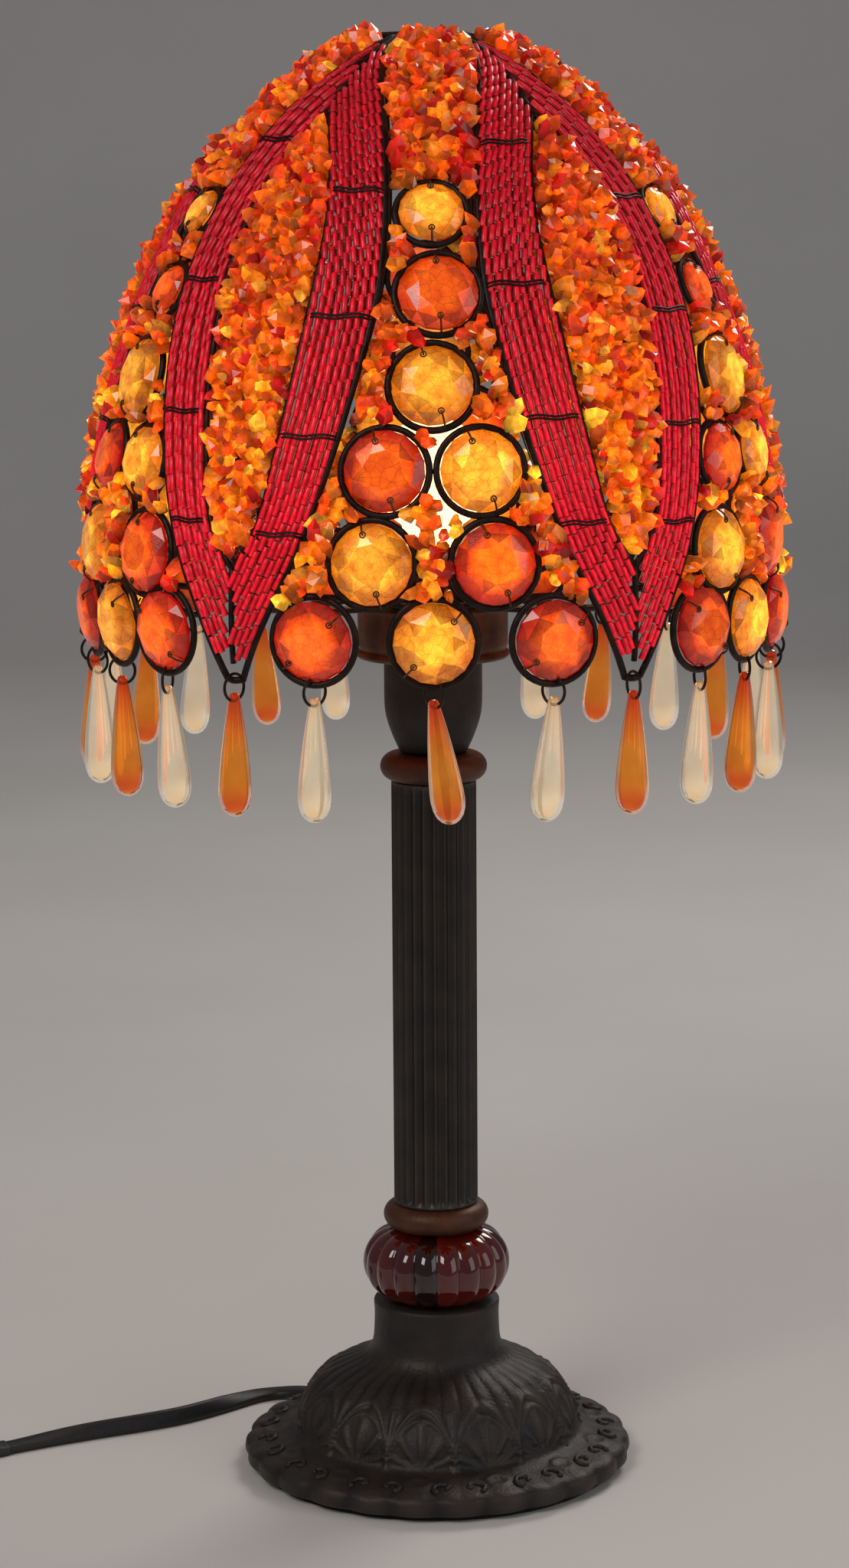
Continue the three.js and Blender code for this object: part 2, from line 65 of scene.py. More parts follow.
# half width of a petal and of its inner leaf: height in mm, degrees
PETAL_HALF = ((295, 1.4), (315, 6), (335, 11), (355, 14.8), (385, 19.2), (415, 22.6), (435, 23.1),
              (455, 21.8), (475, 17.8), (488, 11), (499, 3))
LEAF_HALF = ((331, 0.4), (345, 4.5), (365, 6.7), (395, 9.1), (435, 10.7), (455, 8.3), (468, 3.6),
             (473, 0.4))
LEAF_LOW_Z, LEAF_HIGH_Z = 331 * MM, 473 * MM
BINDINGS = ((-1, (345, 379.5, 419, 463)), (1, (343, 373, 409.5, 447)))
STRANDS = 8
BUGLE_LENGTH, BUGLE_RADIUS = 5.6 * MM, 1.06 * MM
# above a petal's tip, so that the jump ring can swing
RIB_START, BUGLE_END = 5.5 * MM, 7 * MM

PANELS = (0, 61.5, 118.5, 180, -118.5, -61.5)
DISC_RING = 14 * MM
# the discs of a panel: sideways and height in mm, share of full size, colour
DISCS = ((0, 442, 0.8, "amber"), (2, 417, 1, "flame"), (0, 388.6, 1, "amber"),
         (-15.1, 362.4, 1, "red"), (15.1, 362.4, 1, "amber"), (-19.4, 333.5, 1, "amber"),
         (19.4, 333.5, 1, "red"))
# degrees from a panel's middle to its outer bottom discs, and to the petals beside it
WIDE_PANEL_SIDE, NARROW_PANEL_SIDE = 18.8, 14
WIDE_PANEL_REACH, NARROW_PANEL_REACH = 33, 28.5
LEAF_CHIP_SPACING, PANEL_CHIP_SPACING = 3.5 * MM, 3.6 * MM

JUMP_RING_RADIUS, JUMP_RING_WIRE = 4.4 * MM, 0.5 * MM
JUMP_RING_PLAY = 0.5 * MM
HOLE_BELOW_RING = 2.7 * MM
DROP_RADIUS = 5.5 * MM
# (share of the radius, share of the height) of a drop, from its foot up
DROP_OUTLINE = ((0.03, 0), (0.3, 0.008), (0.56, 0.03), (0.79, 0.068), (0.94, 0.125), (1, 0.19),
                (0.99, 0.26), (0.93, 0.37), (0.82, 0.51), (0.68, 0.66), (0.54, 0.79), (0.42, 0.89),
                (0.35, 0.94), (0.33, 0.965), (0.26, 0.99), (0.12, 1))
FRONT_DROP_LEAN = 8

BASE_RIBS, BASE_LEAVES = 39, 13
BALL_LOBES, COLUMN_FLUTES = 18, 24
BULB_LEVEL = 355

CAMERA_DISTANCE, CAMERA_HEIGHT = 1.248, 0.4535
CAMERA_TILT, CAMERA_ROLL, CAMERA_ASIDE, CAMERA_LENS = 9.5, -0.35, -0.0032, 83.5

CORD_WIDTH, CORD_HEIGHT = 6.5 * MM, 3.2 * MM
CORD_RUN = (
    (-45.7, 54.5, 4.6), (-49.6, 59.2, 3.9), (-54.4, 62.6, 2.8), (-61, 63.6, 1.9), (-68.5, 60, 1.7),
    (-76, 52.6, 1.7), (-84.5, 44, 1.7), (-95, 35.6, 1.7), (-108.5, 28.4, 1.7), (-123, 22, 1.7),
    (-141, 13.6, 1.7), (-158, 4.4, 1.7), (-167, -0.8, 2.6), (-173.4, -4.6, 4.6))
CORD_TAIL = (
    (-228.4, -37, 4.6), (-234, -40.3, 2.8), (-242, -43.8, 1.7), (-254, -46.6, 1.7),
    (-268, -47.6, 1.7), (-280, -46.9, 1.7))
CORD_LEAD = ((-333.4, 10, 5), (-333.6, 17, 5), (-333.6, 24, 5.4), (-333.6, 30, 6.6))
COIL_CENTRE = (-286, 2)
COIL_START, COIL_END, COIL_STEP = -83.0, 170 - 8 * 360.0, 20.0
COIL_OUTER, COIL_DEPTH = 41.2, 17.6
TIE_AZIMUTH = 202
LOWER_LAYER, LAYER_RISE = 1.7, 3.3
BOOT_LENGTH, PLUG_BOOT_LENGTH = 22 * MM, 20 * MM
PATH_STEPS = 3


def put_in_scene(name, data):
    thing = bpy.data.objects.new(name, data)
    bpy.context.collection.objects.link(thing)
    return thing


def facing(azimuth):
    """The level directions out from the lamp's axis and across, at an azimuth."""
    turn = math.radians(azimuth)
    return (Vector((math.sin(turn), -math.cos(turn), 0)),
            Vector((math.cos(turn), math.sin(turn), 0)))


# ---- camera and light ----
def make_camera():
    data = bpy.data.cameras.new("camera")
    data.lens = CAMERA_LENS
    data.sensor_width = 36
    camera = put_in_scene("camera", data)
    tilt = Matrix.Rotation(math.radians(90 - CAMERA_TILT), 4, "X")
    roll = Matrix.Rotation(math.radians(CAMERA_ROLL), 4, "Z")
    place = Matrix.Translation((CAMERA_ASIDE, -CAMERA_DISTANCE, CAMERA_HEIGHT))
    camera.matrix_world = place @ tilt @ roll
    bpy.context.scene.camera = camera


def add_area(name, place, target, size, power, colour=(1, 1, 1)):
    data = bpy.data.lights.new(name, "AREA")
    data.size = size
    data.energy = power
    data.color = colour
    light = put_in_scene(name, data)
    light.location = place
    light.rotation_euler = (Vector(target) - Vector(place)).to_track_quat("-Z", "Y").to_euler()


def make_lights():
    middle = (0, 0, 0.25)
    add_area("key", (-0.9, -1.3, 1.5), middle, 0.8, 11, (1, 0.97, 0.93))
    add_area("fill", (1.5, -0.9, 0.8), middle, 1.2, 5, (0.95, 0.97, 1))
    add_area("rim", (0.7, 1.1, 1.3), middle, 0.6, 8, (1, 0.95, 0.9))
    data = bpy.data.lights.new("bulb_light", "POINT")
    data.energy = 2.4
    data.color = (1, 0.72, 0.42)
    data.shadow_soft_size = 0.02
    low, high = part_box("bulb_glass")
    put_in_scene("bulb_light", data).location = (0, 0, high.z - (high.x - low.x) / 2)
    world = bpy.data.worlds.new("studio")
    world.use_nodes = True
    background = world.node_tree.nodes["Background"].inputs
    background["Color"].default_value = (0.9, 0.92, 1, 1)
    background["Strength"].default_value = 0.16
    bpy.context.scene.world = world


# ---- shapes ----
def skin(rows, closed=False, caps=True):
    """Faces between rows of points. Each row runs once round; closed joins the last row to the first."""
    count, size = len(rows), len(rows[0])
    points = [point for row in rows for point in row]
    faces = []
    for i in range(count if closed else count - 1):
        a, b = i * size, (i + 1) % count * size
        faces += [(a + j, a + (j + 1) % size, b + (j + 1) % size, b + j) for j in range(size)]
    if caps and not closed:
        last = (count - 1) * size
        faces += [tuple(reversed(range(size))), tuple(range(last, last + size))]
    return points, faces


def lathe(outline, segments=64, warp=None, closed=False):
    """A solid of revolution about Z. warp(radius, z, angle) gives a changed radius and z."""
    rows = []
    for radius, z in outline:
        row = []
        for j in range(segments):
            angle = 2 * math.pi * j / segments
            at = warp(radius, z, angle) if warp else (radius, z)
            row.append((at[0] * math.cos(angle), at[0] * math.sin(angle), at[1]))
        rows.append(row)
    return skin(rows, closed=closed)


def rail(path, closed=False):
    """For each point of a path: the point, and two directions across it that turn as little as can be."""
    path = [Vector(point) for point in path]
    count = len(path)
    found, side = [], None
    for i, point in enumerate(path):
        after = path[(i + 1) % count] if closed else path[min(i + 1, count - 1)]
        before = path[i - 1] if closed or i else path[0]
        ahead = (after - before).normalized()
        if side is None:
            side = ahead.cross(Vector((0.12, 0.31, 0.94))).normalized()
        side = (side - ahead * side.dot(ahead)).normalized()
        found.append((point, side, ahead.cross(side)))
    return found


def ring_path(middle, across, up, radius, count, turn=0.0):
    """Points round a circle. turn moves them on by that share of a step."""
    turns = [2 * math.pi * (i + turn) / count for i in range(count)]
    return [middle + across * (radius * math.cos(t)) + up * (radius * math.sin(t)) for t in turns]


def tube(path, radius, sides=8, closed=False):
    rows = [ring_path(point, side, other, radius, sides) for point, side, other in rail(path, closed)]
    return skin(rows, closed=closed)


def sweep(first, last, count):
    """Even angles from first to last, given in degrees, in radians."""
    return [math.radians(first + (last - first) * k / (count - 1)) for k in range(count)]


def level_ring(z, radius, count=48):
    return ring_path(Vector((0, 0, z)), Vector((1, 0, 0)), Vector((0, 1, 0)), radius, count)


def smooth_path(points, steps=6):
    """A Catmull-Rom curve through the points."""
    points = [Vector(point) for point in points]
    ends = [points[0] * 2 - points[1], *points, points[-1] * 2 - points[-2]]
    found = []
    for i in range(1, len(ends) - 2):
        a, b, c, d = ends[i - 1:i + 3]
        for k in range(steps):
            t = k / steps
            found.append(0.5 * (2 * b + (c - a) * t + (2 * a - 5 * b + 4 * c - d) * t ** 2
                                + (3 * b - 3 * c + d - a) * t ** 3))
    return [*found, points[-1]]


class Shape:
    """Gathers many small solids into one mesh, with a tint at each corner."""

    def __init__(self):
        self.points, self.faces, self.tints = [], [], []

    def add(self, solid, tint=(1, 1, 1), spread=0.0, by_point=None):
        """tint is for the whole solid, or by_point gives one for each of its points."""
        points, faces = solid
        start = len(self.points)
        self.points += [tuple(point) for point in points]
        for face in faces:
            self.faces.append(tuple(start + i for i in face))
            # spread gives each face a random brightness: on the faceted glass it is painted sparkle of
            # facets catching the light
            light = 1 + random.uniform(-spread, spread)
            for i in face:
                red, green, blue = by_point[i] if by_point else tint
                self.tints.append((red * light, green * light, blue * light, 1))

    def build(self, name, look, body, smooth=True, stands_for=()):
        mesh = bpy.data.meshes.new(name)
        mesh.from_pydata(self.points, [], self.faces)
        layer = mesh.color_attributes.new("tint", "FLOAT_COLOR", "CORNER")
        layer.data.foreach_set("color", np.array(self.tints, np.float32).ravel())
        mesh.polygons.foreach_set("use_smooth", [smooth] * len(self.faces))
        mesh.materials.append(look)
        mesh.update()
        piece = put_in_scene(name, mesh)
        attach(piece, body)
        if stands_for:
            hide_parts(*stands_for)
        return piece


def piece_of(name, solid, look, body, smooth=True, stands_for=()):
    shape = Shape()
    shape.add(solid)
    return shape.build(name, look, body, smooth, stands_for)


# ---- materials ----
def surface(name, colour, second=None, scale=60, rough=(0.3, 0.5), metallic=0.0, bump=0.0, coat=0.0,
            glow=0.0, through=0.0, tinted=False, crackle=0.0, ior=1.5, spread=(0.35, 0.65)):
    """A Principled material with noise in its colour, roughness and bump. tinted multiplies by the tint.
    glow is emission: the bulb's own light on the bulb, and painted glow on the beads, discs, drops and
    ball.
    """
    material = bpy.data.materials.new(name)
    material.use_nodes = True
    nodes, links = material.node_tree.nodes, material.node_tree.links
    shader = nodes["Principled BSDF"]
    place = nodes.new("ShaderNodeTexCoord").outputs["Object"]

    def noise(size, detail):
        node = nodes.new("ShaderNodeTexNoise")
        node.inputs["Scale"].default_value = size
        node.inputs["Detail"].default_value = detail
        links.new(place, node.inputs["Vector"])
        return node.outputs["Fac"]

    ramp = nodes.new("ShaderNodeValToRGB")
    ramp.color_ramp.elements[0].position, ramp.color_ramp.elements[1].position = spread
    ramp.color_ramp.elements[0].color = (*colour, 1)
    ramp.color_ramp.elements[1].color = (*(second or colour), 1)
    links.new(noise(scale, 4), ramp.inputs["Fac"])
    shown = ramp.outputs["Color"]
    if crackle:
        cells = nodes.new("ShaderNodeTexVoronoi")
        cells.feature = "DISTANCE_TO_EDGE"
        cells.inputs["Scale"].default_value = crackle
        links.new(place, cells.inputs["Vector"])
        lines = nodes.new("ShaderNodeMapRange")
        lines.inputs["From Max"].default_value = 0.05
        lines.inputs["To Min"].default_value = 0.6
        links.new(cells.outputs["Distance"], lines.inputs["Value"])
        shown = multiply(material, shown, lines.outputs["Result"])
    if tinted:
        tint = nodes.new("ShaderNodeAttribute")
        tint.attribute_name = "tint"
        shown = multiply(material, shown, tint.outputs["Color"])
    # painted glow on every look but the bulb's: emission stands in for light shining through the glass, and
    # the base colour is darkened so that it shows
    if glow:
        links.new(shown, shader.inputs["Emission Color"])
        shader.inputs["Emission Strength"].default_value = glow
        shade = nodes.new("ShaderNodeMix")
        shade.data_type = "RGBA"
        shade.inputs["Factor"].default_value = 0 if through else 0.65
        shade.inputs["B"].default_value = (0, 0, 0, 1)
        links.new(shown, shade.inputs["A"])
        shown = shade.outputs["Result"]
    links.new(shown, shader.inputs["Base Color"])
    span = nodes.new("ShaderNodeMapRange")
    span.inputs["To Min"].default_value, span.inputs["To Max"].default_value = rough
    links.new(noise(scale * 2.3, 3), span.inputs["Value"])
    links.new(span.outputs["Result"], shader.inputs["Roughness"])
    if bump:
        lumps = nodes.new("ShaderNodeBump")
        lumps.inputs["Strength"].default_value = bump
        lumps.inputs["Distance"].default_value = 0.4 * MM
        links.new(noise(scale * 9, 5), lumps.inputs["Height"])
        links.new(lumps.outputs["Normal"], shader.inputs["Normal"])
    shader.inputs["Metallic"].default_value = metallic
    shader.inputs["Coat Weight"].default_value = coat
    shader.inputs["Coat Roughness"].default_value = 0.06
    shader.inputs["Transmission Weight"].default_value = through
    shader.inputs["IOR"].default_value = ior
    return material


def multiply(material, colour, by):
    node = material.node_tree.nodes.new("ShaderNodeMix")
    node.data_type = "RGBA"
    node.blend_type = "MULTIPLY"
    node.inputs["Factor"].default_value = 1
    material.node_tree.links.new(colour, node.inputs["A"])
    material.node_tree.links.new(by, node.inputs["B"])
    return node.outputs["Result"]


LOOKS = {
    "wire": surface("black_wire", (0.010, 0.007, 0.006), (0.035, 0.018, 0.012), 300, (0.3, 0.55), 0.6, 0.3),
    "tie": surface("tie_wire", (0.09, 0.04, 0.02), (0.16, 0.09, 0.05), 500, (0.25, 0.4), 0.8, 0.1),
    "cast": surface("black_cast", (0.010, 0.009, 0.008), (0.028, 0.021, 0.016),
                    90, (0.42, 0.68), 0.25, 0.5),
    "rust": surface("rust_finish", (0.055, 0.016, 0.006), (0.11, 0.034, 0.012), 120, (0.4, 0.6), 0.3, 0.4),
    "bronze": surface("bronze_finish", (0.045, 0.02, 0.01), (0.11, 0.05, 0.022),
                    120, (0.35, 0.55), 0.5, 0.3),
    # the bugles, chips, discs, drops and ball below carry painted glow through their glow argument
    "bugle": surface("crimson_bugles", (1, 1, 1), (0.6, 0.5, 0.5), 700, (0.22, 0.38), 0, 0.12, 0, 0.9,
                     tinted=True),
    "chip": surface("glass_chips", (1, 1, 1), (0.7, 0.5, 0.42), 420, (0.08, 0.2), 0, 0.1, 0.2, 0.95,
                    tinted=True),
    "disc": surface("faceted_discs", (1, 1, 1), (0.8, 0.52, 0.42), 240, (0.05, 0.14), 0, 0.12, 0.4, 0.95,
                    tinted=True, crackle=330),
    "amber": surface("amber_drop", (1, 1, 1), (0.92, 0.84, 0.8), 160, (0.03, 0.08), 0, 0.04, 0,
                     0.16, through=0.75, tinted=True, ior=1.22),
    "pale": surface("pale_drop", (1, 1, 1), (0.95, 0.92, 0.9), 140, (0.1, 0.22), 0, 0.08, 0,
                    0.18, through=0.85, tinted=True, ior=1.3),
    "ball": surface("red_glass", (1, 1, 1), (0.6, 0.5, 0.5), 60, (0.04, 0.1), 0, 0, 0.7, 0.06,
                    tinted=True),
    "column": surface("fluted_cast", (0.020, 0.017, 0.015), (0.034, 0.026, 0.020), 90, (0.34, 0.5),
                      0.25, 0.3, tinted=True),
    "relief": surface("relief_cast", (0.016, 0.014, 0.013), (0.034, 0.024, 0.018), 90, (0.4, 0.62), 0.25,
                      0.6, tinted=True),
    "bulb": surface("bulb_glass", (1, 0.70, 0.33), (1, 0.78, 0.42), 60, (0.2, 0.3), 0, 0, 0, 2.2),
    "plastic": surface("black_plastic", (0.010, 0.010, 0.011), (0.018, 0.018, 0.018), 400, (0.35, 0.5), 0,
                       0.25),
    "rubber": surface("black_flex", (0.006, 0.006, 0.007), (0.012, 0.012, 0.012),
                    500, (0.38, 0.55), 0, 0.2),
    "felt": surface("felt", (0.012, 0.011, 0.01), (0.03, 0.028, 0.025), 900, (0.9, 1), 0, 0.9),
    "brass": surface("brass_fitting", (0.5, 0.33, 0.12), (0.62, 0.42, 0.17), 200, (0.22, 0.4), 1, 0.15),
    "steel": surface("steel_pipe", (0.4, 0.4, 0.38), (0.55, 0.55, 0.52), 200, (0.25, 0.45), 1, 0.15),
    "floor": surface("pale_floor", (0.74, 0.71, 0.67), (0.79, 0.76, 0.72), 3, (0.55, 0.7), 0, 0.05),
}
TINTS = {
    "orange": (0.88, 0.125, 0.003), "amber": (0.92, 0.24, 0.008), "yellow": (1.0, 0.44, 0.03),
    "red": (0.52, 0.009, 0.004), "flame": (0.85, 0.06, 0.003), "crimson": (0.50, 0.004, 0.014),
}
# paler heart colours of the discs: painted glow of light through their middles
GLOW_HEARTS = {"amber": "yellow", "flame": "orange", "red": "orange"}


def finish_cad_nodes():
    looks = {"felt_pad": "felt", "base_nut": "brass", "lamp_pipe": "steel", "socket_body": "plastic",
             "socket_shell": "brass", "bulb_cap": "steel", "cord_grommet": "rubber"}
    for name, look in looks.items():
        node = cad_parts[name]
        node.data.materials.clear()
        node.data.materials.append(LOOKS[look])


# ---- the dome ----
def near(value, target, width):
    """1 at the target, falling smoothly to 0 about two widths away."""
    return math.exp(-((value - target) / width) ** 2)


def along(points, x):
    """Value at x in ((x, value), ...), smoothed."""
    if x <= points[0][0]:
        return points[0][1]
    if x >= points[-1][0]:
        return points[-1][1]
    i = next(k for k in range(len(points)) if points[k][0] > x) - 1

    def slope(k):
        before, after = points[max(k - 1, 0)], points[min(k + 1, len(points) - 1)]
        return (after[1] - before[1]) / (after[0] - before[0])

    span = points[i + 1][0] - points[i][0]
    t = (x - points[i][0]) / span
    rise, fall = t * t * (3 - 2 * t), t * (1 - t)
    turn = span * fall * ((1 - t) * slope(i) - t * slope(i + 1))
    return points[i][1] * (1 - rise) + points[i + 1][1] * rise + turn


def dome_radius(z):
    up = min(max(z - DOME_WIDEST_Z, 0) / DOME_HEIGHT, 1)
    tuck = max(DOME_WIDEST_Z - z, 0) ** 2 / (160 * MM)
    return DOME_RADIUS * (1 - up ** DOME_POWER) ** (1 / DOME_POWER) - tuck


def spot(azimuth, z, out=0.0):
    """A point on the dome, moved out along its normal, with the directions across, up and out there."""
    step = 0.2 * MM
    low = min(z, TOP_RING_Z - step)
    slope = (dome_radius(low + step) - dome_radius(low - step)) / (2 * step)
    level, across = facing(azimuth)
    up = (level * slope + Vector((0, 0, 1))).normalized()
    outward = across.cross(up)
    return level * dome_radius(z) + Vector((0, 0, z)) + outward * out, across, up, outward


def per_degree(z):
    return dome_radius(z) * math.pi / 180


ARC_TABLE = [(TOP_RING_Z, 0.0)]
while ARC_TABLE[-1][0] > TIP_Z:
    here = ARC_TABLE[-1][0]
    drop = min(0.5 * MM, here - TIP_Z + 1e-9)
    grown = math.hypot(drop, dome_radius(here) - dome_radius(here - drop))
    ARC_TABLE.append((here - drop, ARC_TABLE[-1][1] + grown))
ARC_Z = np.array([z for z, _ in ARC_TABLE])
ARC_LENGTH = np.array([length for _, length in ARC_TABLE])


def arc_at(z):
    """Length along the dome from the top ring down to z."""
    return float(np.interp(-z, -ARC_Z, ARC_LENGTH))


def height_at(arc):
    return float(np.interp(arc, ARC_LENGTH, ARC_Z))


def petal_share(azimuth):
    return SIDE_PETAL_SHARE if abs(azimuth) == 90 else 1


def petal_half(azimuth, z):
    return petal_share(azimuth) * along(PETAL_HALF, z / MM)


def leaf_half(azimuth, z):
    inside = LEAF_LOW_Z < z < LEAF_HIGH_Z
    return petal_share(azimuth) * along(LEAF_HALF, z / MM) if inside else 0.0


def panel_edges(panel, z):
    """The azimuths of the wires on each side of a panel."""
    reach = WIDE_PANEL_REACH if panel % 180 == 0 else NARROW_PANEL_REACH
    edges = []
    for side in (-1, 1):
        petal = panel + side * reach
        folded = round((petal + 180) % 360 - 180)
        edges.append(petal - side * petal_half(folded, z))
    return edges


def panel_discs(panel):
    """(azimuth, height, ring radius, colour) of each disc in a panel."""
    found = []
    for aside, height, share, colour in DISCS:
        z = height * MM
        left, right = panel_edges(panel, z)
        half = (right - left) / 2 * per_degree(z) - 1.6 * MM
        radius = DISC_RING * (1 if share == 1 else 0.82)
        fit = min(1, half / (abs(aside) * MM + radius)) if aside else min(1, half / radius)
        azimuth = (left + right) / 2 + aside * MM * fit / per_degree(z)
        found.append((azimuth, z, radius * fit, colour))
    side = WIDE_PANEL_SIDE if panel % 180 == 0 else NARROW_PANEL_SIDE
    for part, colour in ((-1, "red"), (0, "amber"), (1, "red")):
        found.append((panel + part * side, TIP_Z + DISC_RING, DISC_RING, colour))
    return found


def wire_path(azimuth_at, low, high, count):
    """A wire on the dome from high down to low, at an azimuth that changes with height."""
    first, last = arc_at(high), arc_at(low)
    heights = [height_at(first + (last - first) * i / (count - 1)) for i in range(count)]
    return [spot(azimuth_at(z), z)[0] for z in heights]


def lowest_wire(azimuth):
    """Where a drop hangs from the shade."""
    radius = dome_radius(TIP_Z + DISC_RING) - RING_SINK
    return facing(azimuth)[0] * radius + Vector((0, 0, TIP_Z))


# ---- the shade ----
def make_wires():
    shape = Shape()
    shape.add(tube(level_ring(TOP_RING_Z, dome_radius(TOP_RING_Z)), WIRE * 1.3, 10, closed=True))
    for petal in PETALS:
        for side in (-1, 1):
            shape.add(tube(wire_path(lambda z: petal + side * petal_half(petal, z),
                                     TIP_Z, TOP_RING_Z, 70), WIRE))
            shape.add(tube(wire_path(lambda z: petal + side * leaf_half(petal, z),
                                     LEAF_LOW_Z, LEAF_HIGH_Z, 50), WIRE * 0.92))
        shape.add(tube(wire_path(lambda z: petal, TIP_Z + RIB_START, LEAF_LOW_Z, 12), WIRE * 0.9))
        shape.add(tube(wire_path(lambda z: petal, LEAF_HIGH_Z, TOP_RING_Z, 12), WIRE * 0.9))
        left, right = (spot(petal + side * 1.4, TIP_Z + 0.3 * MM)[0] for side in (-1, 1))
        shape.add(tube(smooth_path([left, lowest_wire(petal), right], 3), WIRE))
    for panel in PANELS:
        for azimuth, z, radius, _ in panel_discs(panel):
            middle, across, up, _ = spot(azimuth, z, -RING_SINK)
            if z < TIP_Z + DISC_RING * 1.1:
                middle = lowest_wire(azimuth) + Vector((0, 0, radius))
                up = Vector((0, 0, 1))
            shape.add(tube(ring_path(middle, across, up, radius, 40), WIRE, 8, closed=True))
    return shape.build("frame_wires", LOOKS["wire"], "shade", stands_for=["shade_frame"])


def bugle(middle, ahead, side):
    other = ahead.cross(side)
    half = BUGLE_LENGTH / 2
    rows = []
    for where, share in ((-1, 0.9), (-0.95, 1), (0.95, 1), (1, 0.9)):
        rows.append(ring_path(middle + ahead * (half * where), side, other, BUGLE_RADIUS * share, 6))
    return skin(rows)


def strap_width(azimuth, z):
    """Width of the strap of bugles between a petal's outer wire and its leaf, in metres."""
    level = min(max(z, LEAF_LOW_Z + 3 * MM), LEAF_HIGH_Z - 6 * MM)
    return (petal_half(azimuth, level) - leaf_half(azimuth, level)) * per_degree(level)


def make_bugles(index, petal):
    shape = Shape()
    for side in (-1, 1):
        for strand in range(STRANDS):
            arc = arc_at(TOP_RING_Z - 4 * MM) + random.uniform(0, BUGLE_LENGTH)
            last = arc_at(TIP_Z + BUGLE_END)
            while arc < last:
                z = height_at(arc)
                inset = (strand + 0.62) / (STRANDS + 0.2) * strap_width(petal, z)
                reach = petal_half(petal, z) * per_degree(z) - inset
                if reach > leaf_half(petal, z) * per_degree(z) + 0.9 * MM:
                    shape_bead(shape, petal, side, z, reach, strand)
                arc += BUGLE_LENGTH * 0.995
    shape.build(f"petal_{index}_bugles", LOOKS["bugle"], "shade",
                stands_for=[f"petal_beadwork_{index}"])


def shape_bead(shape, petal, side, z, reach, strand):
    below = z - 1.5 * MM
    drift = petal_half(petal, below) * per_degree(below) - petal_half(petal, z) * per_degree(z)
    out = 0.5 * MM + (0.5 * MM if strand % 2 else 0) + random.uniform(-0.2, 0.2) * MM
    azimuth = petal + side * reach / per_degree(z)
    middle, across, up, outward = spot(azimuth, z, out)
    run = arc_at(below) - arc_at(z)
    ahead = (up * -run + across * (side * drift) + across * random.uniform(-0.03, 0.03) * run).normalized()
    # painted light: each bead is painted brighter near the bulb, with a painted highlight on its outward
    # face and painted shade on its inner faces; its ends are darker
    light = random.uniform(0.82, 1.15) * (0.72 + 0.5 * near_bulb(z, 75))
    faces = [[value * light * share for value in TINTS["crimson"]]
             for share in (1.8, 0.6, 0.1, 0.1, 0.1, 0.6)]
    ends = [[value * 0.8 for value in tint] for tint in faces]
    shape.add(bugle(middle, ahead, outward), spread=0.08, by_point=ends + faces * 2 + ends)


def chip(middle, across, up, outward, size):
    """A broken-looking shard: a stretched, uneven double pyramid that leans out of the dome, with a
    brightness for each point that paints shade at its foot and a highlight at its tip.
    """
    lean = random.uniform(0.25, 1.25)
    turn = random.uniform(0, 2 * math.pi)
    flat = across * math.cos(turn) + up * math.sin(turn)
    axis = (flat * math.cos(lean) + outward * math.sin(lean)).normalized()
    side = axis.cross(across if abs(axis.dot(across)) < 0.8 else up).normalized()
    other = axis.cross(side)
    length, width = size * random.uniform(0.62, 0.9), size * random.uniform(0.3, 0.46)
    points = []
    for where, share in ((-0.75, 0.45), (-0.2, 1), (0.45, 0.8)):
        for k in range(5):
            t = 2 * math.pi * (k + 0.5 * (where > -0.5)) / 5
            reach = width * share * random.uniform(0.75, 1.2)
            points.append(middle + axis * (length * where) + side * (reach * math.cos(t))
                          + other * (reach * math.sin(t)))
    points.append(middle + axis * length * random.uniform(0.8, 1))
    faces = [tuple(reversed(range(5)))]
    for row in (0, 5):
        for k in range(5):
            faces.append((row + k, row + (k + 1) % 5, row + 5 + (k + 1) % 5, row + 5 + k))
    faces += [(10 + k, 10 + (k + 1) % 5, 15) for k in range(5)]
    # brightness along the shard: painted shade at its foot among the other chips, painted highlight at its
    # tip
    return points, faces, [0.12] * 5 + [0.5] * 5 + [0.95] * 5 + [1.6]


def near_bulb(z, spread):
    """1 level with the bulb, falling off up and down the shade: the mask for light from the bulb painted
    onto beads, chips and discs.
    """
    return near(z / MM, BULB_LEVEL, spread)


def chip_tint(z):
    """A chip's colour, with painted light from the bulb: near it chips are painted brighter and paler
    colours are picked more often, and dimmer chips are made redder.
    """
    close = near_bulb(z, 55)
    shares = (44, 16 + 16 * close, 2 + 8 * close, 26 - 8 * close, 12 - 6 * close)
    name = random.choices(("orange", "amber", "yellow", "flame", "red"), shares)[0]
    # painted light from the bulb: brighter near it, redder where dim
    light = random.uniform(0.5, 1.2) * (0.9 + 0.35 * close)
    red, green, blue = TINTS[name]
    return [red * light, green * light ** 1.6, blue * light]


def scatter_chips(shape, low, high, edges_at, spacing, is_free):
    """Chips on the dome between two azimuths that change with height."""
    arc, row = arc_at(high), 0
    while arc < arc_at(low):
        z = height_at(arc)
        left, right = (edge * per_degree(z) for edge in edges_at(z))
        count = max(int(round((right - left) / spacing)), 0)
        for k in range(count):
            where = left + (k + 0.5 + 0.25 * (row % 2)) * (right - left) / count
            where = min(max(where + random.uniform(-0.3, 0.3) * spacing, left), right)
            height = height_at(arc + random.uniform(-0.3, 0.3) * spacing)
            if is_free(where, height):
                middle, across, up, outward = spot(where / per_degree(height), height,
                                                   random.uniform(0.6, 2.6) * MM)
                points, faces, lights = chip(middle, across, up, outward, random.uniform(5, 7.8) * MM)
                tint = chip_tint(height)
                shape.add((points, faces), spread=0.4,
                          by_point=[[value * light for value in tint] for light in lights])
        arc += spacing * 0.86
        row += 1


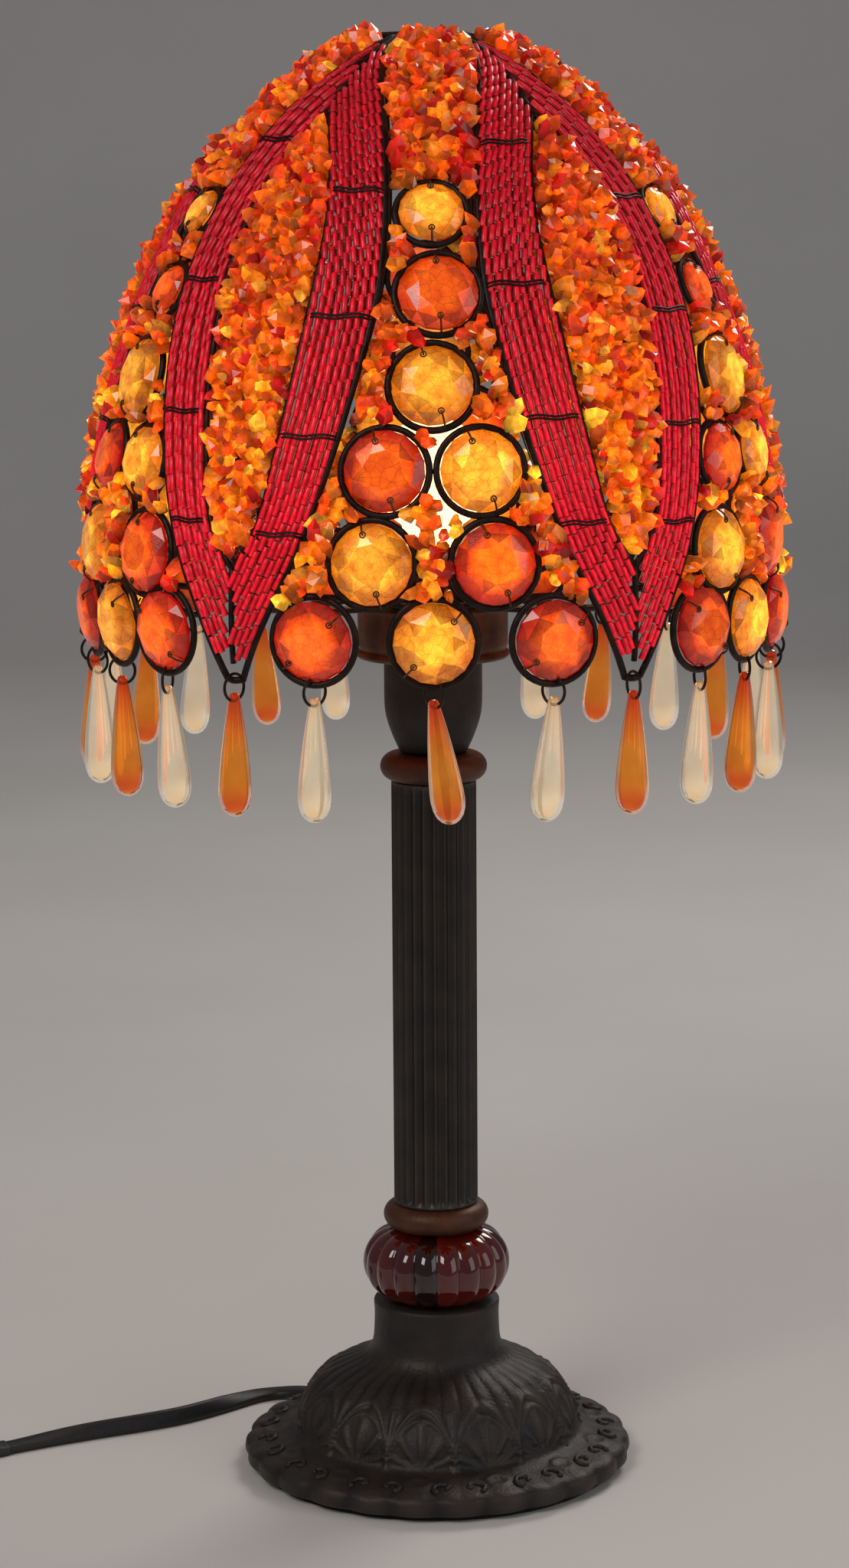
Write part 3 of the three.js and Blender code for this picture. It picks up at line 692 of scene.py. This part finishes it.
def make_leaf_chips(index, petal):
    shape = Shape()

    def edges(z):
        inset = 2.1 * MM / per_degree(z)
        half = max(leaf_half(petal, z) - inset, 0)
        return petal - half, petal + half

    scatter_chips(shape, LEAF_LOW_Z + 5 * MM, LEAF_HIGH_Z - 4 * MM, edges, LEAF_CHIP_SPACING,
                  lambda at, z: True)
    shape.build(f"petal_{index}_chips", LOOKS["chip"], "shade", smooth=False)


def make_bindings(index, petal):
    """Thin dark wires that tie the strands across each strap."""
    shape = Shape()
    for side, heights in BINDINGS:
        for height in heights:
            z = (height + random.uniform(-1.5, 1.5)) * MM
            outer, inner = petal_half(petal, z), leaf_half(petal, z)
            for lift in (-0.5 * MM, 0.5 * MM):
                steps = [inner + (outer - inner) * k / 8 for k in range(9)]
                path = [spot(petal + side * half, z + lift + math.sin(k * 1.3) * 0.3 * MM,
                             WIRE + 0.9 * MM if 0 < k < 8 else WIRE * 0.6)[0]
                        for k, half in enumerate(steps)]
                shape.add(tube(smooth_path(path, 2), 0.42 * MM, 6))
    shape.build(f"petal_{index}_bindings", LOOKS["wire"], "shade")


def faceted_disc(middle, across, up, outward, radius):
    """A sew-on disc: an eight-sided table, two rows of facets and a flat back."""
    def level(count, share, height, turn=0.0):
        return ring_path(middle + outward * height, across, up, radius * share, count, turn)

    thick = radius * 0.34
    points = (level(8, 0.5, thick, 0.5) + level(8, 0.8, thick * 0.7) + level(16, 1, thick * 0.15)
              + level(16, 1, -thick * 0.12) + level(8, 0.45, -thick * 0.3))
    faces = [tuple(range(8))]
    for k in range(8):
        after = (k + 1) % 8
        faces.append((k, 8 + after, after))
        faces.append((8 + k, 8 + after, k))
        faces.append((8 + k, 16 + 2 * k, 16 + 2 * k + 1))
        faces.append((8 + k, 16 + 2 * k + 1, 8 + after))
        faces.append((8 + after, 16 + 2 * k + 1, 16 + (2 * k + 2) % 16))
        faces.append((32 + 2 * k, 48 + k, 48 + after, 32 + (2 * k + 2) % 16, 32 + 2 * k + 1))
    for k in range(16):
        after = (k + 1) % 16
        faces.append((16 + k, 32 + k, 32 + after, 16 + after))
    faces.append(tuple(reversed(range(48, 56))))
    return points, faces


def make_discs(index, panel):
    discs, ties = Shape(), Shape()
    for azimuth, z, ring, colour in panel_discs(panel):
        middle, across, up, outward = spot(azimuth, z, 0.3 * MM)
        lean = Matrix.Rotation(random.uniform(-0.09, 0.09), 3, across)
        swing = random.uniform(-0.35, 0.35)
        if z < TIP_Z + DISC_RING * 1.1:
            swing = random.choice((-1, 1)) * random.uniform(0.65, 0.95)
        turn = Matrix.Rotation(math.pi / 2 + swing, 3, outward)
        across, up, outward = (lean @ turn @ axis for axis in (across, up, outward))
        radius = ring - 1.1 * MM
        # painted light: discs are painted brighter near the bulb, with a painted glow in a paler heart on
        # the table and back, and a painted darker girdle
        light = random.uniform(0.85, 1.2) * (1.1 + 0.4 * near_bulb(z, 30))
        rim, glow_heart = TINTS[colour], TINTS[GLOW_HEARTS[colour]]
        blend = [0.9] * 8 + [0.3] * 8 + [0] * 32 + [0.8] * 8
        discs.add(faceted_disc(middle, across, up, outward, radius), spread=0.42,
                  by_point=[[(b * share + a * (1 - share)) * light * (0.5 + 0.75 * share)
                             for a, b in zip(rim, glow_heart)] for share in blend])
        for side in (-1, 1):
            hole = middle + across * (side * radius * 0.74) + outward * (radius * 0.3)
            rim = middle + across * (side * ring) + outward * (0.4 * MM)
            over = (hole + rim) / 2 + outward * (1.1 * MM)
            behind = hole - outward * (radius * 0.3)
            ties.add(tube(smooth_path([rim, over, hole, behind], 4), 0.34 * MM, 6))
            eye = ring_path(hole, across, up, 0.9 * MM, 10)
            ties.add(tube(eye, 0.28 * MM, 5, closed=True))
    discs.build(f"panel_{index}_discs", LOOKS["disc"], "shade", smooth=False,
                stands_for=[f"panel_beadwork_{index}"])
    ties.build(f"panel_{index}_ties", LOOKS["tie"], "shade")


def make_panel_chips(index, panel):
    shape = Shape()
    discs = panel_discs(panel)

    def edges(z):
        inset = 2.2 * MM / per_degree(z)
        left, right = panel_edges(panel, z)
        return left + inset, right - inset

    def is_free(at, z):
        for azimuth, height, radius, _ in discs:
            if math.hypot(at - azimuth * per_degree(z), arc_at(z) - arc_at(height)) < radius + 1.6 * MM:
                return False
        return z > 452 * MM or random.random() < 0.88

    scatter_chips(shape, TIP_Z + 24 * MM, height_at(5 * MM), edges, PANEL_CHIP_SPACING, is_free)
    shape.build(f"panel_{index}_chips", LOOKS["chip"], "shade", smooth=False)


def make_drop(index, azimuth, colour):
    """A jump ring and its glass drop, which leans a little on its ring."""
    name = f"drop_{index:02d}"
    hook = lowest_wire(azimuth)
    level, across = facing(azimuth)
    middle = hook + Vector((0, 0, WIRE + JUMP_RING_PLAY + JUMP_RING_WIRE - JUMP_RING_RADIUS))
    turned = random.choice((-1, 1)) * random.uniform(0.45, 0.9)
    yaw = Matrix.Rotation(turned * (0.2 if azimuth in PETALS else 1), 3, "Z")
    ring = ring_path(middle, yaw @ level, Vector((0, 0, 1)), JUMP_RING_RADIUS, 28)
    piece_of(f"{name}_ring", tube(ring, JUMP_RING_WIRE, 8, closed=True), LOOKS["wire"], f"{name}_hung")
    low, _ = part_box(name)
    pivot = middle - Vector((0, 0, JUMP_RING_RADIUS))
    length = pivot.z + HOLE_BELOW_RING - low.z
    lean = FRONT_DROP_LEAN if azimuth == 0 else random.uniform(-6, 6)
    sway = Matrix.Rotation(math.radians(lean), 3, level)
    rows, tints = [], []
    for share, up in DROP_OUTLINE:
        at = Vector((0, 0, low.z + length * up - pivot.z))
        circle = ring_path(at, across, level, DROP_RADIUS * share, 24)
        rows.append([pivot + sway @ point for point in circle])
        tints += [drop_tint(colour, up)] * 24
    glass = Shape()
    glass.add(skin(rows), by_point=tints)
    glass.build(f"{name}_glass", LOOKS[colour], f"{name}_hung", stands_for=[name])


def drop_tint(colour, up):
    """Colour of a drop by its share of the way up."""
    if colour == "amber":
        stops = ((0, 1, 0.4, 0.06), (0.07, 0.8, 0.14, 0.03), (0.25, 0.88, 0.32, 0.04),
                 (0.55, 0.9, 0.36, 0.05), (0.85, 0.8, 0.15, 0.03), (1, 0.7, 0.06, 0.02))
    else:
        stops = ((0, 1, 0.74, 0.42), (0.15, 0.97, 0.8, 0.56), (0.6, 0.96, 0.84, 0.64),
                 (0.9, 0.98, 0.8, 0.54), (1, 0.95, 0.6, 0.3))
    return [along([(stop[0], stop[channel]) for stop in stops], up) for channel in (1, 2, 3)]


def make_drops():
    """One drop under each petal's tip and each bottom disc, numbered by azimuth."""
    places = [(azimuth, "amber") for azimuth in PETALS]
    for panel in PANELS:
        side = WIDE_PANEL_SIDE if panel % 180 == 0 else NARROW_PANEL_SIDE
        places += [(panel - side, "pale"), (panel, "amber"), (panel + side, "pale")]
    places.sort(key=lambda place: place[0])
    for index, (azimuth, colour) in enumerate(places, 1):
        make_drop(index, azimuth, colour)


def make_fitter():
    """The ring that rests on the gallery, and its arms to the petals."""
    _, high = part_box("gallery_dish")
    wire, radius = 1.2 * MM, 25 * MM
    middle = Vector((0, 0, high.z + 0.3 * MM + wire))
    shape = Shape()
    shape.add(tube(level_ring(middle.z, radius), wire, 8, closed=True))
    end_z = 318 * MM
    end = dome_radius(end_z) - WIRE * 0.5
    for azimuth in PETALS:
        out, _ = facing(azimuth)
        arm = [middle + out * radius, middle + out * (60 * MM) + Vector((0, 0, 2 * MM)),
               out * end + Vector((0, 0, end_z))]
        shape.add(tube(smooth_path(arm, 8), wire, 8))
    shape.build("fitter_wires", LOOKS["wire"], "shade", stands_for=["fitter"])


# ---- the stand ----
def rounded(points, steps=4):
    """(radius, z) outline in mm, smoothed, in metres."""
    path = smooth_path([(radius, z, 0) for radius, z in points], steps)
    return [(point.x * MM, point.y * MM) for point in path]


def make_base():
    """The cast base: a ribbed bell, a ring of arches with fans, and a scalloped flange."""
    outer = rounded(((66, 1.9), (67.8, 3), (68.3, 5), (67.6, 7.6), (65, 9.2), (60, 10.2), (55, 11.2),
                     (51, 12.8), (49.4, 15.5), (49, 17.5), (48.5, 19.5), (47.8, 21.5), (46.8, 23.5),
                     (45.6, 25.6), (44.2, 27.8), (42.4, 30), (40, 32.2), (36.6, 34.6), (31, 37),
                     (26.5, 39), (23.8, 41.6), (22.6, 45), (22.2, 50), (22.1, 55), (22.3, 58.6),
                     (21.8, 59.6)), 6)

    def warp(radius, z, angle):
        height = z / MM
        rib = abs(math.cos(angle * BASE_RIBS / 2))
        share = (angle * BASE_LEAVES / (2 * math.pi)) % 1 * 2 - 1
        side = abs(share)
        arch = 32 - 13 * side ** 2.4
        lift = -1.2 * (1 - rib) ** 1.3 * near(height, 34, 4.5)
        if 12.5 < height < 36:
            lift += 1.3 * near(height, arch, 1.1) + 0.9 * near(height, arch - 3.4, 0.8)
            lift += 1.1 * near(side, 1, 0.07) * (height < 31)
            fan = math.atan2(share * 11, height - 12)
            lift += 0.8 * max(0, math.cos(fan * 11)) * (height < arch - 4.4) * min(1, (height - 12.5) / 4)
        if radius > 50 * MM:
            edge = (radius / MM - 50) / 18
            lift += 1.3 * edge * (abs(math.cos(angle * BASE_LEAVES)) - 0.6)
            z += 0.6 * MM * near(math.hypot(share * 11, radius / MM - 58), 3, 1.1) * (height > 6)
            z += 0.5 * MM * abs(math.sin(angle * BASE_LEAVES * 1.5)) * (height > 6) * edge
        return radius + lift * MM, z

    inner = [(0.018, 0.0592), (0.018, 0.044), (0.024, 0.0352), (0.032, 0.032), (0.040, 0.0255),
             (0.044, 0.018), (0.045, 0.009), (0.061, 0.0074), (0.061, 0.0019)]
    top = [(0.0053, 0.0600), (0.0053, 0.0540), (0.018, 0.0540)]
    outline = outer + top + inner[1:]
    solid = lathe(outline, 390, warp, closed=True)
    shape = Shape()
    # painted highlight on the proud relief and painted shade in its hollows
    shape.add(solid, by_point=relief_highlight_and_shade(solid[0], outline, 390, 0.7))
    add_scrolls(shape)
    shape.build("base", LOOKS["relief"], "stand", stands_for=["base_casting"])


def relief_highlight_and_shade(points, outline, segments, gain):
    """Painted highlight where a turned surface stands proud of its outline, painted shade where it is cut
    in.
    """
    tints = []
    for i, point in enumerate(points):
        proud = math.hypot(point[0], point[1]) - outline[i // segments][0]
        light = min(max(1 + gain * proud / MM, 0.35), 2.2)
        tints.append((light, light, light))
    return tints


def add_scrolls(shape):
    """Low scrolls round the top of the flange, half sunk in it."""
    for i in range(BASE_LEAVES):
        start = 2 * math.pi * i / BASE_LEAVES
        for hand in (-1, 1):
            path = []
            for k in range(22):
                t = k / 21
                curl = 3.6 * (1 - 0.8 * t)
                turn = hand * (0.5 + 5.2 * t)
                radius = 60.5 + curl * math.cos(turn * hand)
                aside = hand * 5.2 + curl * math.sin(turn) * 1.2
                angle = start + aside / 60.5
                height = 10.4 - (radius - 60) * 0.2
                path.append(Vector((radius * math.cos(angle), radius * math.sin(angle), height)) * MM)
            shape.add(tube(path, 1.05 * MM, 6))


def make_ball():
    low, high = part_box("glass_ball")
    middle, half, radius = (low.z + high.z) / 2, (high.z - low.z) / 2, high.x
    outline = []
    for t in sweep(-78, 78, 25):
        outline.append((0.011 + (radius - 0.011) * math.cos(t) ** 0.8, middle + half * math.sin(t) / 0.98))

    def warp(at, z, angle):
        swell = abs(math.cos(angle * BALL_LOBES / 2)) ** 0.7
        return at * (0.93 + 0.07 * swell), z

    bore = [(0.0056, high.z - 0.2 * MM), (0.0056, low.z + 0.2 * MM)]
    solid = lathe(outline + bore, 288, warp, closed=True)
    # painted light and shade: each lobe gets a random brightness, and the lobe that faces the front is
    # painted dark
    lights = [random.uniform(0.6, 1.3) for _ in range(BALL_LOBES)]
    lights[BALL_LOBES * 3 // 4] = 0.12
    tints = []
    for point in solid[0]:
        turn = math.atan2(point[1], point[0]) / (2 * math.pi)
        light = lights[math.floor(turn * BALL_LOBES + 0.5) % BALL_LOBES]
        tints.append((0.2 * light + 0.01, 0.008 * light + 0.002, 0.003 * light + 0.002))
    shape = Shape()
    shape.add(solid, by_point=tints)
    shape.build("ribbed_ball", LOOKS["ball"], "stand", stands_for=["glass_ball"])


def make_collar(name):
    low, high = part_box(name)
    half = (high.z - low.z) / 2
    radius, middle = high.x, (high.z + low.z) / 2
    outline = []
    for t in sweep(-90, 90, 17):
        outline.append((radius - half + half * math.cos(t), middle + half * math.sin(t)))
    bore = [(0.0053, high.z), (0.0053, low.z)]
    piece_of(f"{name}_ring", lathe(outline + bore, 96, closed=True), LOOKS["rust"], "stand",
             stands_for=[name])


def make_column():
    low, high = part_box("column")
    radius = high.x

    def warp(at, z, angle):
        if at < radius * 0.8:
            return at, z
        flute = abs(math.sin(angle * COLUMN_FLUTES / 2)) ** 0.75
        edge = min(1, (high.z - z) / (2.5 * MM), (z - low.z) / (2.5 * MM))
        return at - 1.5 * MM * flute * edge, z

    heights = [low.z, low.z + 0.8 * MM, low.z + 1.6 * MM, low.z + 2.5 * MM, low.z + 4 * MM,
               (low.z + high.z) / 2, high.z - 4 * MM, high.z - 2.5 * MM, high.z - 1.6 * MM,
               high.z - 0.8 * MM, high.z]
    outline = [(radius, z) for z in heights] + [(0.0085, high.z), (0.0085, low.z)]
    solid = lathe(outline, 288, warp, closed=True)
    shape = Shape()
    # painted shade in the flutes
    shape.add(solid, by_point=[[2 * light for light in tint]
                               for tint in relief_highlight_and_shade(solid[0], outline, 288, 0.5)])
    shape.build("fluted_column", LOOKS["column"], "stand", stands_for=["column"])


def make_cup_and_dish():
    low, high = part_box("socket_cup")
    base, top, wide = low.z / MM, high.z / MM, high.x / MM
    cup = rounded(((10.2, base), (11.6, base + 0.4), (12.8, base + 2.6), (14.2, base + 5.8),
                   (15.7, base + 10), (16.7, base + 14.2), (wide, base + 19), (wide, base + 26),
                   (wide, top)), 5)
    inside = [((wide - 1.5) * MM, high.z), ((wide - 1.5) * MM, (base + 16) * MM),
              (0.0106, (base + 1.5) * MM), (0.0053, (base + 1.5) * MM), (0.0053, low.z)]
    piece_of("cup", lathe(cup + inside, 96, closed=True), LOOKS["cast"], "stand", stands_for=["socket_cup"])
    low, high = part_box("gallery_dish")
    base, top, wide = low.z / MM, high.z / MM, 26
    dish = rounded(((24.6, base), (25.8, base + 0.2), (26.6, base + 1.2), (26.2, base + 2.4),
                    (25.4, base + 3.2), (25.9, base + 4.6), (wide, base + 8), (wide, top - 2.4),
                    (26.3, top - 1.2), (25.8, top - 0.2), (24.8, top - 0.2)), 4)
    inside = [(0.0244, (top - 1.6) * MM), (0.0244, (base + 2.2) * MM), (0.0133, (base + 2.2) * MM),
              (0.0133, low.z)]
    piece_of("gallery", lathe(dish + inside, 96, closed=True), LOOKS["bronze"], "stand",
             stands_for=["gallery_dish"])


def make_bulb():
    low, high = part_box("bulb_glass")
    radius = high.x
    middle = high.z - radius
    outline = [(0.0086, low.z), (0.0092, low.z + 1.5 * MM)]
    for t in sweep(-58, 89, 19):
        outline.append((radius * math.cos(t), middle + radius * math.sin(t)))
    piece_of("bulb_globe", lathe(outline, 64), LOOKS["bulb"], "bulb", stands_for=["bulb_glass"])


# ---- the cord ----
def cord_path():
    """The cord's middle in metres, from the base to the plug."""
    points = [*CORD_RUN, *CORD_TAIL]
    count = int((COIL_START - COIL_END) / COIL_STEP)
    for k in range(1, count):
        done = k / count
        angle = COIL_START + (COIL_END - COIL_START) * done
        wind = COIL_OUTER - COIL_DEPTH * (1 - abs(1 - 2 * done))
        join = max(0, 1 - k * COIL_STEP / 70, 1 - (count - k) * COIL_STEP / 70)
        radius = wind + 7.4 * join ** 1.5
        z = LOWER_LAYER + LAYER_RISE * min(max((done - 0.485) / 0.03, 0), 1)
        points.append((COIL_CENTRE[0] + radius * math.cos(math.radians(angle)),
                       COIL_CENTRE[1] + radius * math.sin(math.radians(angle)), z))
    points += CORD_LEAD
    return smooth_path([Vector(point) * MM for point in points], PATH_STEPS)


def twist_at(x):
    """How far the flat cord leans onto its edge, in degrees, by its place along the table."""
    return along(((-166, 8), (-150, 12), (-125, 50), (-100, 68), (-84, 60), (-70, 20), (-60, 5)), x / MM)


def make_cord():
    """The flat twin flex: the piece, its middle line, its length and its rows of points."""
    path, rows = cord_path(), []
    run = len(CORD_RUN) * PATH_STEPS
    lobe = CORD_HEIGHT / 2
    apart = (CORD_WIDTH - CORD_HEIGHT) / 2
    section = []
    for side in (1, -1):
        for t in sweep(-78, 78, 9):
            section.append((side * (apart + lobe * math.cos(t)), side * lobe * math.sin(t)))
    raised = []
    for i, point in enumerate(path):
        lean = math.radians(twist_at(point.x)) if i < run else 0
        rise = abs(math.sin(lean)) * (CORD_WIDTH - CORD_HEIGHT) / 2
        raised.append(point + Vector((0, 0, rise)))
    for i, point in enumerate(raised):
        ahead = (raised[min(i + 1, len(raised) - 1)] - raised[max(i - 1, 0)]).normalized()
        wide = ahead.cross(Vector((0, 0, 1))).normalized()
        up = wide.cross(ahead)
        lean = math.radians(twist_at(point.x)) if i < run else 0
        along_width = wide * math.cos(lean) + up * math.sin(lean)
        along_height = up * math.cos(lean) - wide * math.sin(lean)
        rows.append([point + along_width * u + along_height * v for u, v in section])
    cord = piece_of("cord", skin(rows), LOOKS["rubber"], "stand",
                    stands_for=["cord_run", "cord_tail", "cord_coil", "cord_lead"])
    length = sum((b - a).length for a, b in zip(raised, raised[1:]))
    return cord, raised, length, rows


def make_boot(name, route, rows, index, step, length):
    """A ribbed, tapered sleeve on the cord, from a housing at an index of the route, growing thinner."""
    sleeve, done, k = [], 0, index
    while done < length:
        ahead = route[k + step] - route[k]
        parts = max(int(ahead.length / (0.5 * MM)), 1)
        for part in range(parts):
            share = part / parts
            far = (done + ahead.length * share) / length
            if far > 1:
                break
            middle = route[k] + ahead * share
            rib = 0.16 if int(far * 17) % 2 == 0 and far > 0.12 else 0
            grow = 1.72 - 0.55 * far + rib * (1 - far)
            row = []
            for a, b in zip(rows[k], rows[k + step]):
                point = middle + (a * (1 - share) + b * share - middle) * grow
                point.z = max(point.z, 0.02 * MM)
                row.append(point)
            sleeve.append(row)
        done += ahead.length
        k += step
    return piece_of(name, skin(sleeve), LOOKS["plastic"], "stand")


def make_tie():
    """A hook-and-loop strap round the coil."""
    out, across = facing(TIE_AZIMUTH)
    middle = Vector((COIL_CENTRE[0], COIL_CENTRE[1], 0)) * MM + out * (32.2 * MM)
    half, top, corner, thick = 13.2, 7.3, 2.2, 0.7
    loop = []
    for quarter, (x, z) in enumerate(((half - corner, top - corner), (corner - half, top - corner),
                                      (corner - half, corner), (half - corner, corner))):
        for k in range(7):
            t = math.pi / 2 * (quarter + k / 6)
            loop.append((x, z, math.cos(t), math.sin(t)))
    rows = []
    for x, z, side, up in loop:
        row = []
        for reach, wide in ((corner, -4), (corner, 4), (corner - thick, 4), (corner - thick, -4)):
            place = middle + out * ((x + side * reach) * MM) + across * (wide * MM)
            row.append(place + Vector((0, 0, max(z + up * reach, 0.02) * MM)))
        rows.append(row)
    return piece_of("cord_tie", skin(rows, closed=True), LOOKS["felt"], "stand", smooth=False)


def slab(length, width, low, high, corner, edge, steps=6):
    """Rows of a box with rounded corners and edges, in mm about the origin."""
    rows, turns = [], (0, 0.5, 1, math.pi / 2)
    levels = [(edge - edge * math.sin(t), low + edge - edge * math.cos(t)) for t in turns]
    levels += [(edge - edge * math.cos(t), high - edge + edge * math.sin(t)) for t in turns]
    for inset, z in levels:
        x, y = length / 2 - corner, width / 2 - corner
        radius = corner - inset
        row = []
        for quarter, (sx, sy) in enumerate(((1, 1), (-1, 1), (-1, -1), (1, -1))):
            for k in range(steps + 1):
                t = math.pi / 2 * (quarter + k / steps)
                row.append((sx * x + radius * math.cos(t), sy * y + radius * math.sin(t), z))
        rows.append(row)
    return rows


def placed(rows, place):
    return [[place @ (Vector(point) * MM) for point in row] for row in rows]


def turned(outline, count, aside=0):
    """Rows of circles in mm about the Z axis, or about a line beside it."""
    turns = [2 * math.pi * k / count for k in range(count)]
    return [[(aside + radius * math.cos(t), radius * math.sin(t), at) for t in turns]
            for at, radius in outline]


def make_switch():
    low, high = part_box("switch_case")
    middle = (low + high) / 2
    turn = Matrix.Rotation(math.atan2(-32.4, -55), 4, "Z")
    place = Matrix.Translation((middle.x, middle.y, 0)) @ turn
    shape = Shape()
    shape.add(skin(placed(slab(62, 25, 0.05, 14.4, 8, 2.2), place)))
    for side in (-1, 1):
        rows = slab(9, 10, 0.8, 9, 3, 1)
        sleeve = place @ Matrix.Translation((side * 30.5 * MM, 0, 0))
        shape.add(skin(placed(rows, sleeve)))
    rim = [(x * 11.2, y * 7, 14.6) for x, y in ((1, 1), (-1, 1), (-1, -1), (1, -1))]
    shape.add(tube(placed([rim], place)[0], 1.1 * MM, 8, closed=True))
    case = shape.build("switch_body", LOOKS["plastic"], "stand", stands_for=["switch_case"])
    key = place @ Matrix.Translation((0, 0, 15.4 * MM))
    rows = []
    for y, inset in ((-5, 0.5), (-4.6, 0), (4.6, 0), (5, 0.5)):
        outline = ((-9 + inset, -2.4), (9 - inset, -2.4), (9.1 - inset, 0.9 - inset), (4, 1.0 - inset),
                   (0, 1.8 - inset), (-5, 3.0 - inset), (-9.1 + inset, 4.2 - inset))
        rows.append([(x, y, z) for x, z in outline])
    lever = piece_of("rocker_key", skin(placed(rows, key)), LOOKS["plastic"], "rocker", smooth=False,
                     stands_for=["switch_rocker"])
    return case, lever


def make_plug():
    middle = Vector((CORD_LEAD[-1][0], 30.4, 7)) * MM
    place = Matrix.Translation(middle) @ Matrix.Rotation(-math.pi / 2, 4, "X")
    shape = Shape()
    neck = ((0, 3.6), (0.6, 4), (2, 4), (2.4, 3.5), (3.4, 3.5), (3.8, 4.3), (5.6, 4.5), (6, 3.9),
            (7, 3.9), (7.4, 4.9), (12, 5.6))
    shape.add(skin(placed(turned(neck, 20), place)))
    shape.add(skin(placed(slab(35, 13.6, 9, 35, 6.2, 2.4), place)))
    plug = shape.build("plug_body", LOOKS["plastic"], "stand", stands_for=["plug"])
    pins = Shape()
    for aside in (-9.5, 9.5):
        pin = turned(((34, 2), (53, 2), (54, 1.6), (54.4, 0.8)), 16, aside)
        pins.add(skin(placed(pin, place)))
    return plug, pins.build("plug_pins", LOOKS["brass"], "stand")


def make_floor():
    """A pale floor that curves up into a backdrop."""
    wide, front, back, bend = 9.0, -9.0, 2.2, 0.9
    side = [(front, 0), *[(back + bend * math.sin(t), bend - bend * math.cos(t)) for t in sweep(0, 90, 13)],
            (back + bend, 3.2)]
    points = [(x, y, z) for y, z in side for x in (-wide, wide)]
    faces = [(2 * k, 2 * k + 1, 2 * k + 3, 2 * k + 2) for k in range(len(side) - 1)]
    mesh = bpy.data.meshes.new("floor")
    mesh.from_pydata(points, [], faces)
    mesh.polygons.foreach_set("use_smooth", [True] * len(faces))
    mesh.materials.append(LOOKS["floor"])
    put_in_scene("floor", mesh)


bpy.context.scene.view_settings.view_transform = "Standard"
make_camera()
cord, route, cord_length, cord_rows = make_cord()
switch, rocker = make_switch()
plug, pins = make_plug()
case_in = (len(CORD_RUN) - 1) * PATH_STEPS
boots = [make_boot("switch_boot_in", route, cord_rows, case_in, -1, BOOT_LENGTH),
         make_boot("switch_boot_out", route, cord_rows, case_in + PATH_STEPS, 1, BOOT_LENGTH),
         make_boot("plug_boot", route, cord_rows, len(route) - 1, -1, PLUG_BOOT_LENGTH)]
make_tie()
make_lights()
make_floor()
finish_cad_nodes()
make_base()
make_ball()
make_collar("lower_collar")
make_column()
make_collar("upper_collar")
make_cup_and_dish()
make_bulb()
make_wires()
make_fitter()
for number, azimuth in enumerate(PETALS, 1):
    make_bugles(number, azimuth)
    make_leaf_chips(number, azimuth)
    make_bindings(number, azimuth)
for number, azimuth in enumerate(PANELS, 1):
    make_discs(number, azimuth)
    make_panel_chips(number, azimuth)
make_drops()
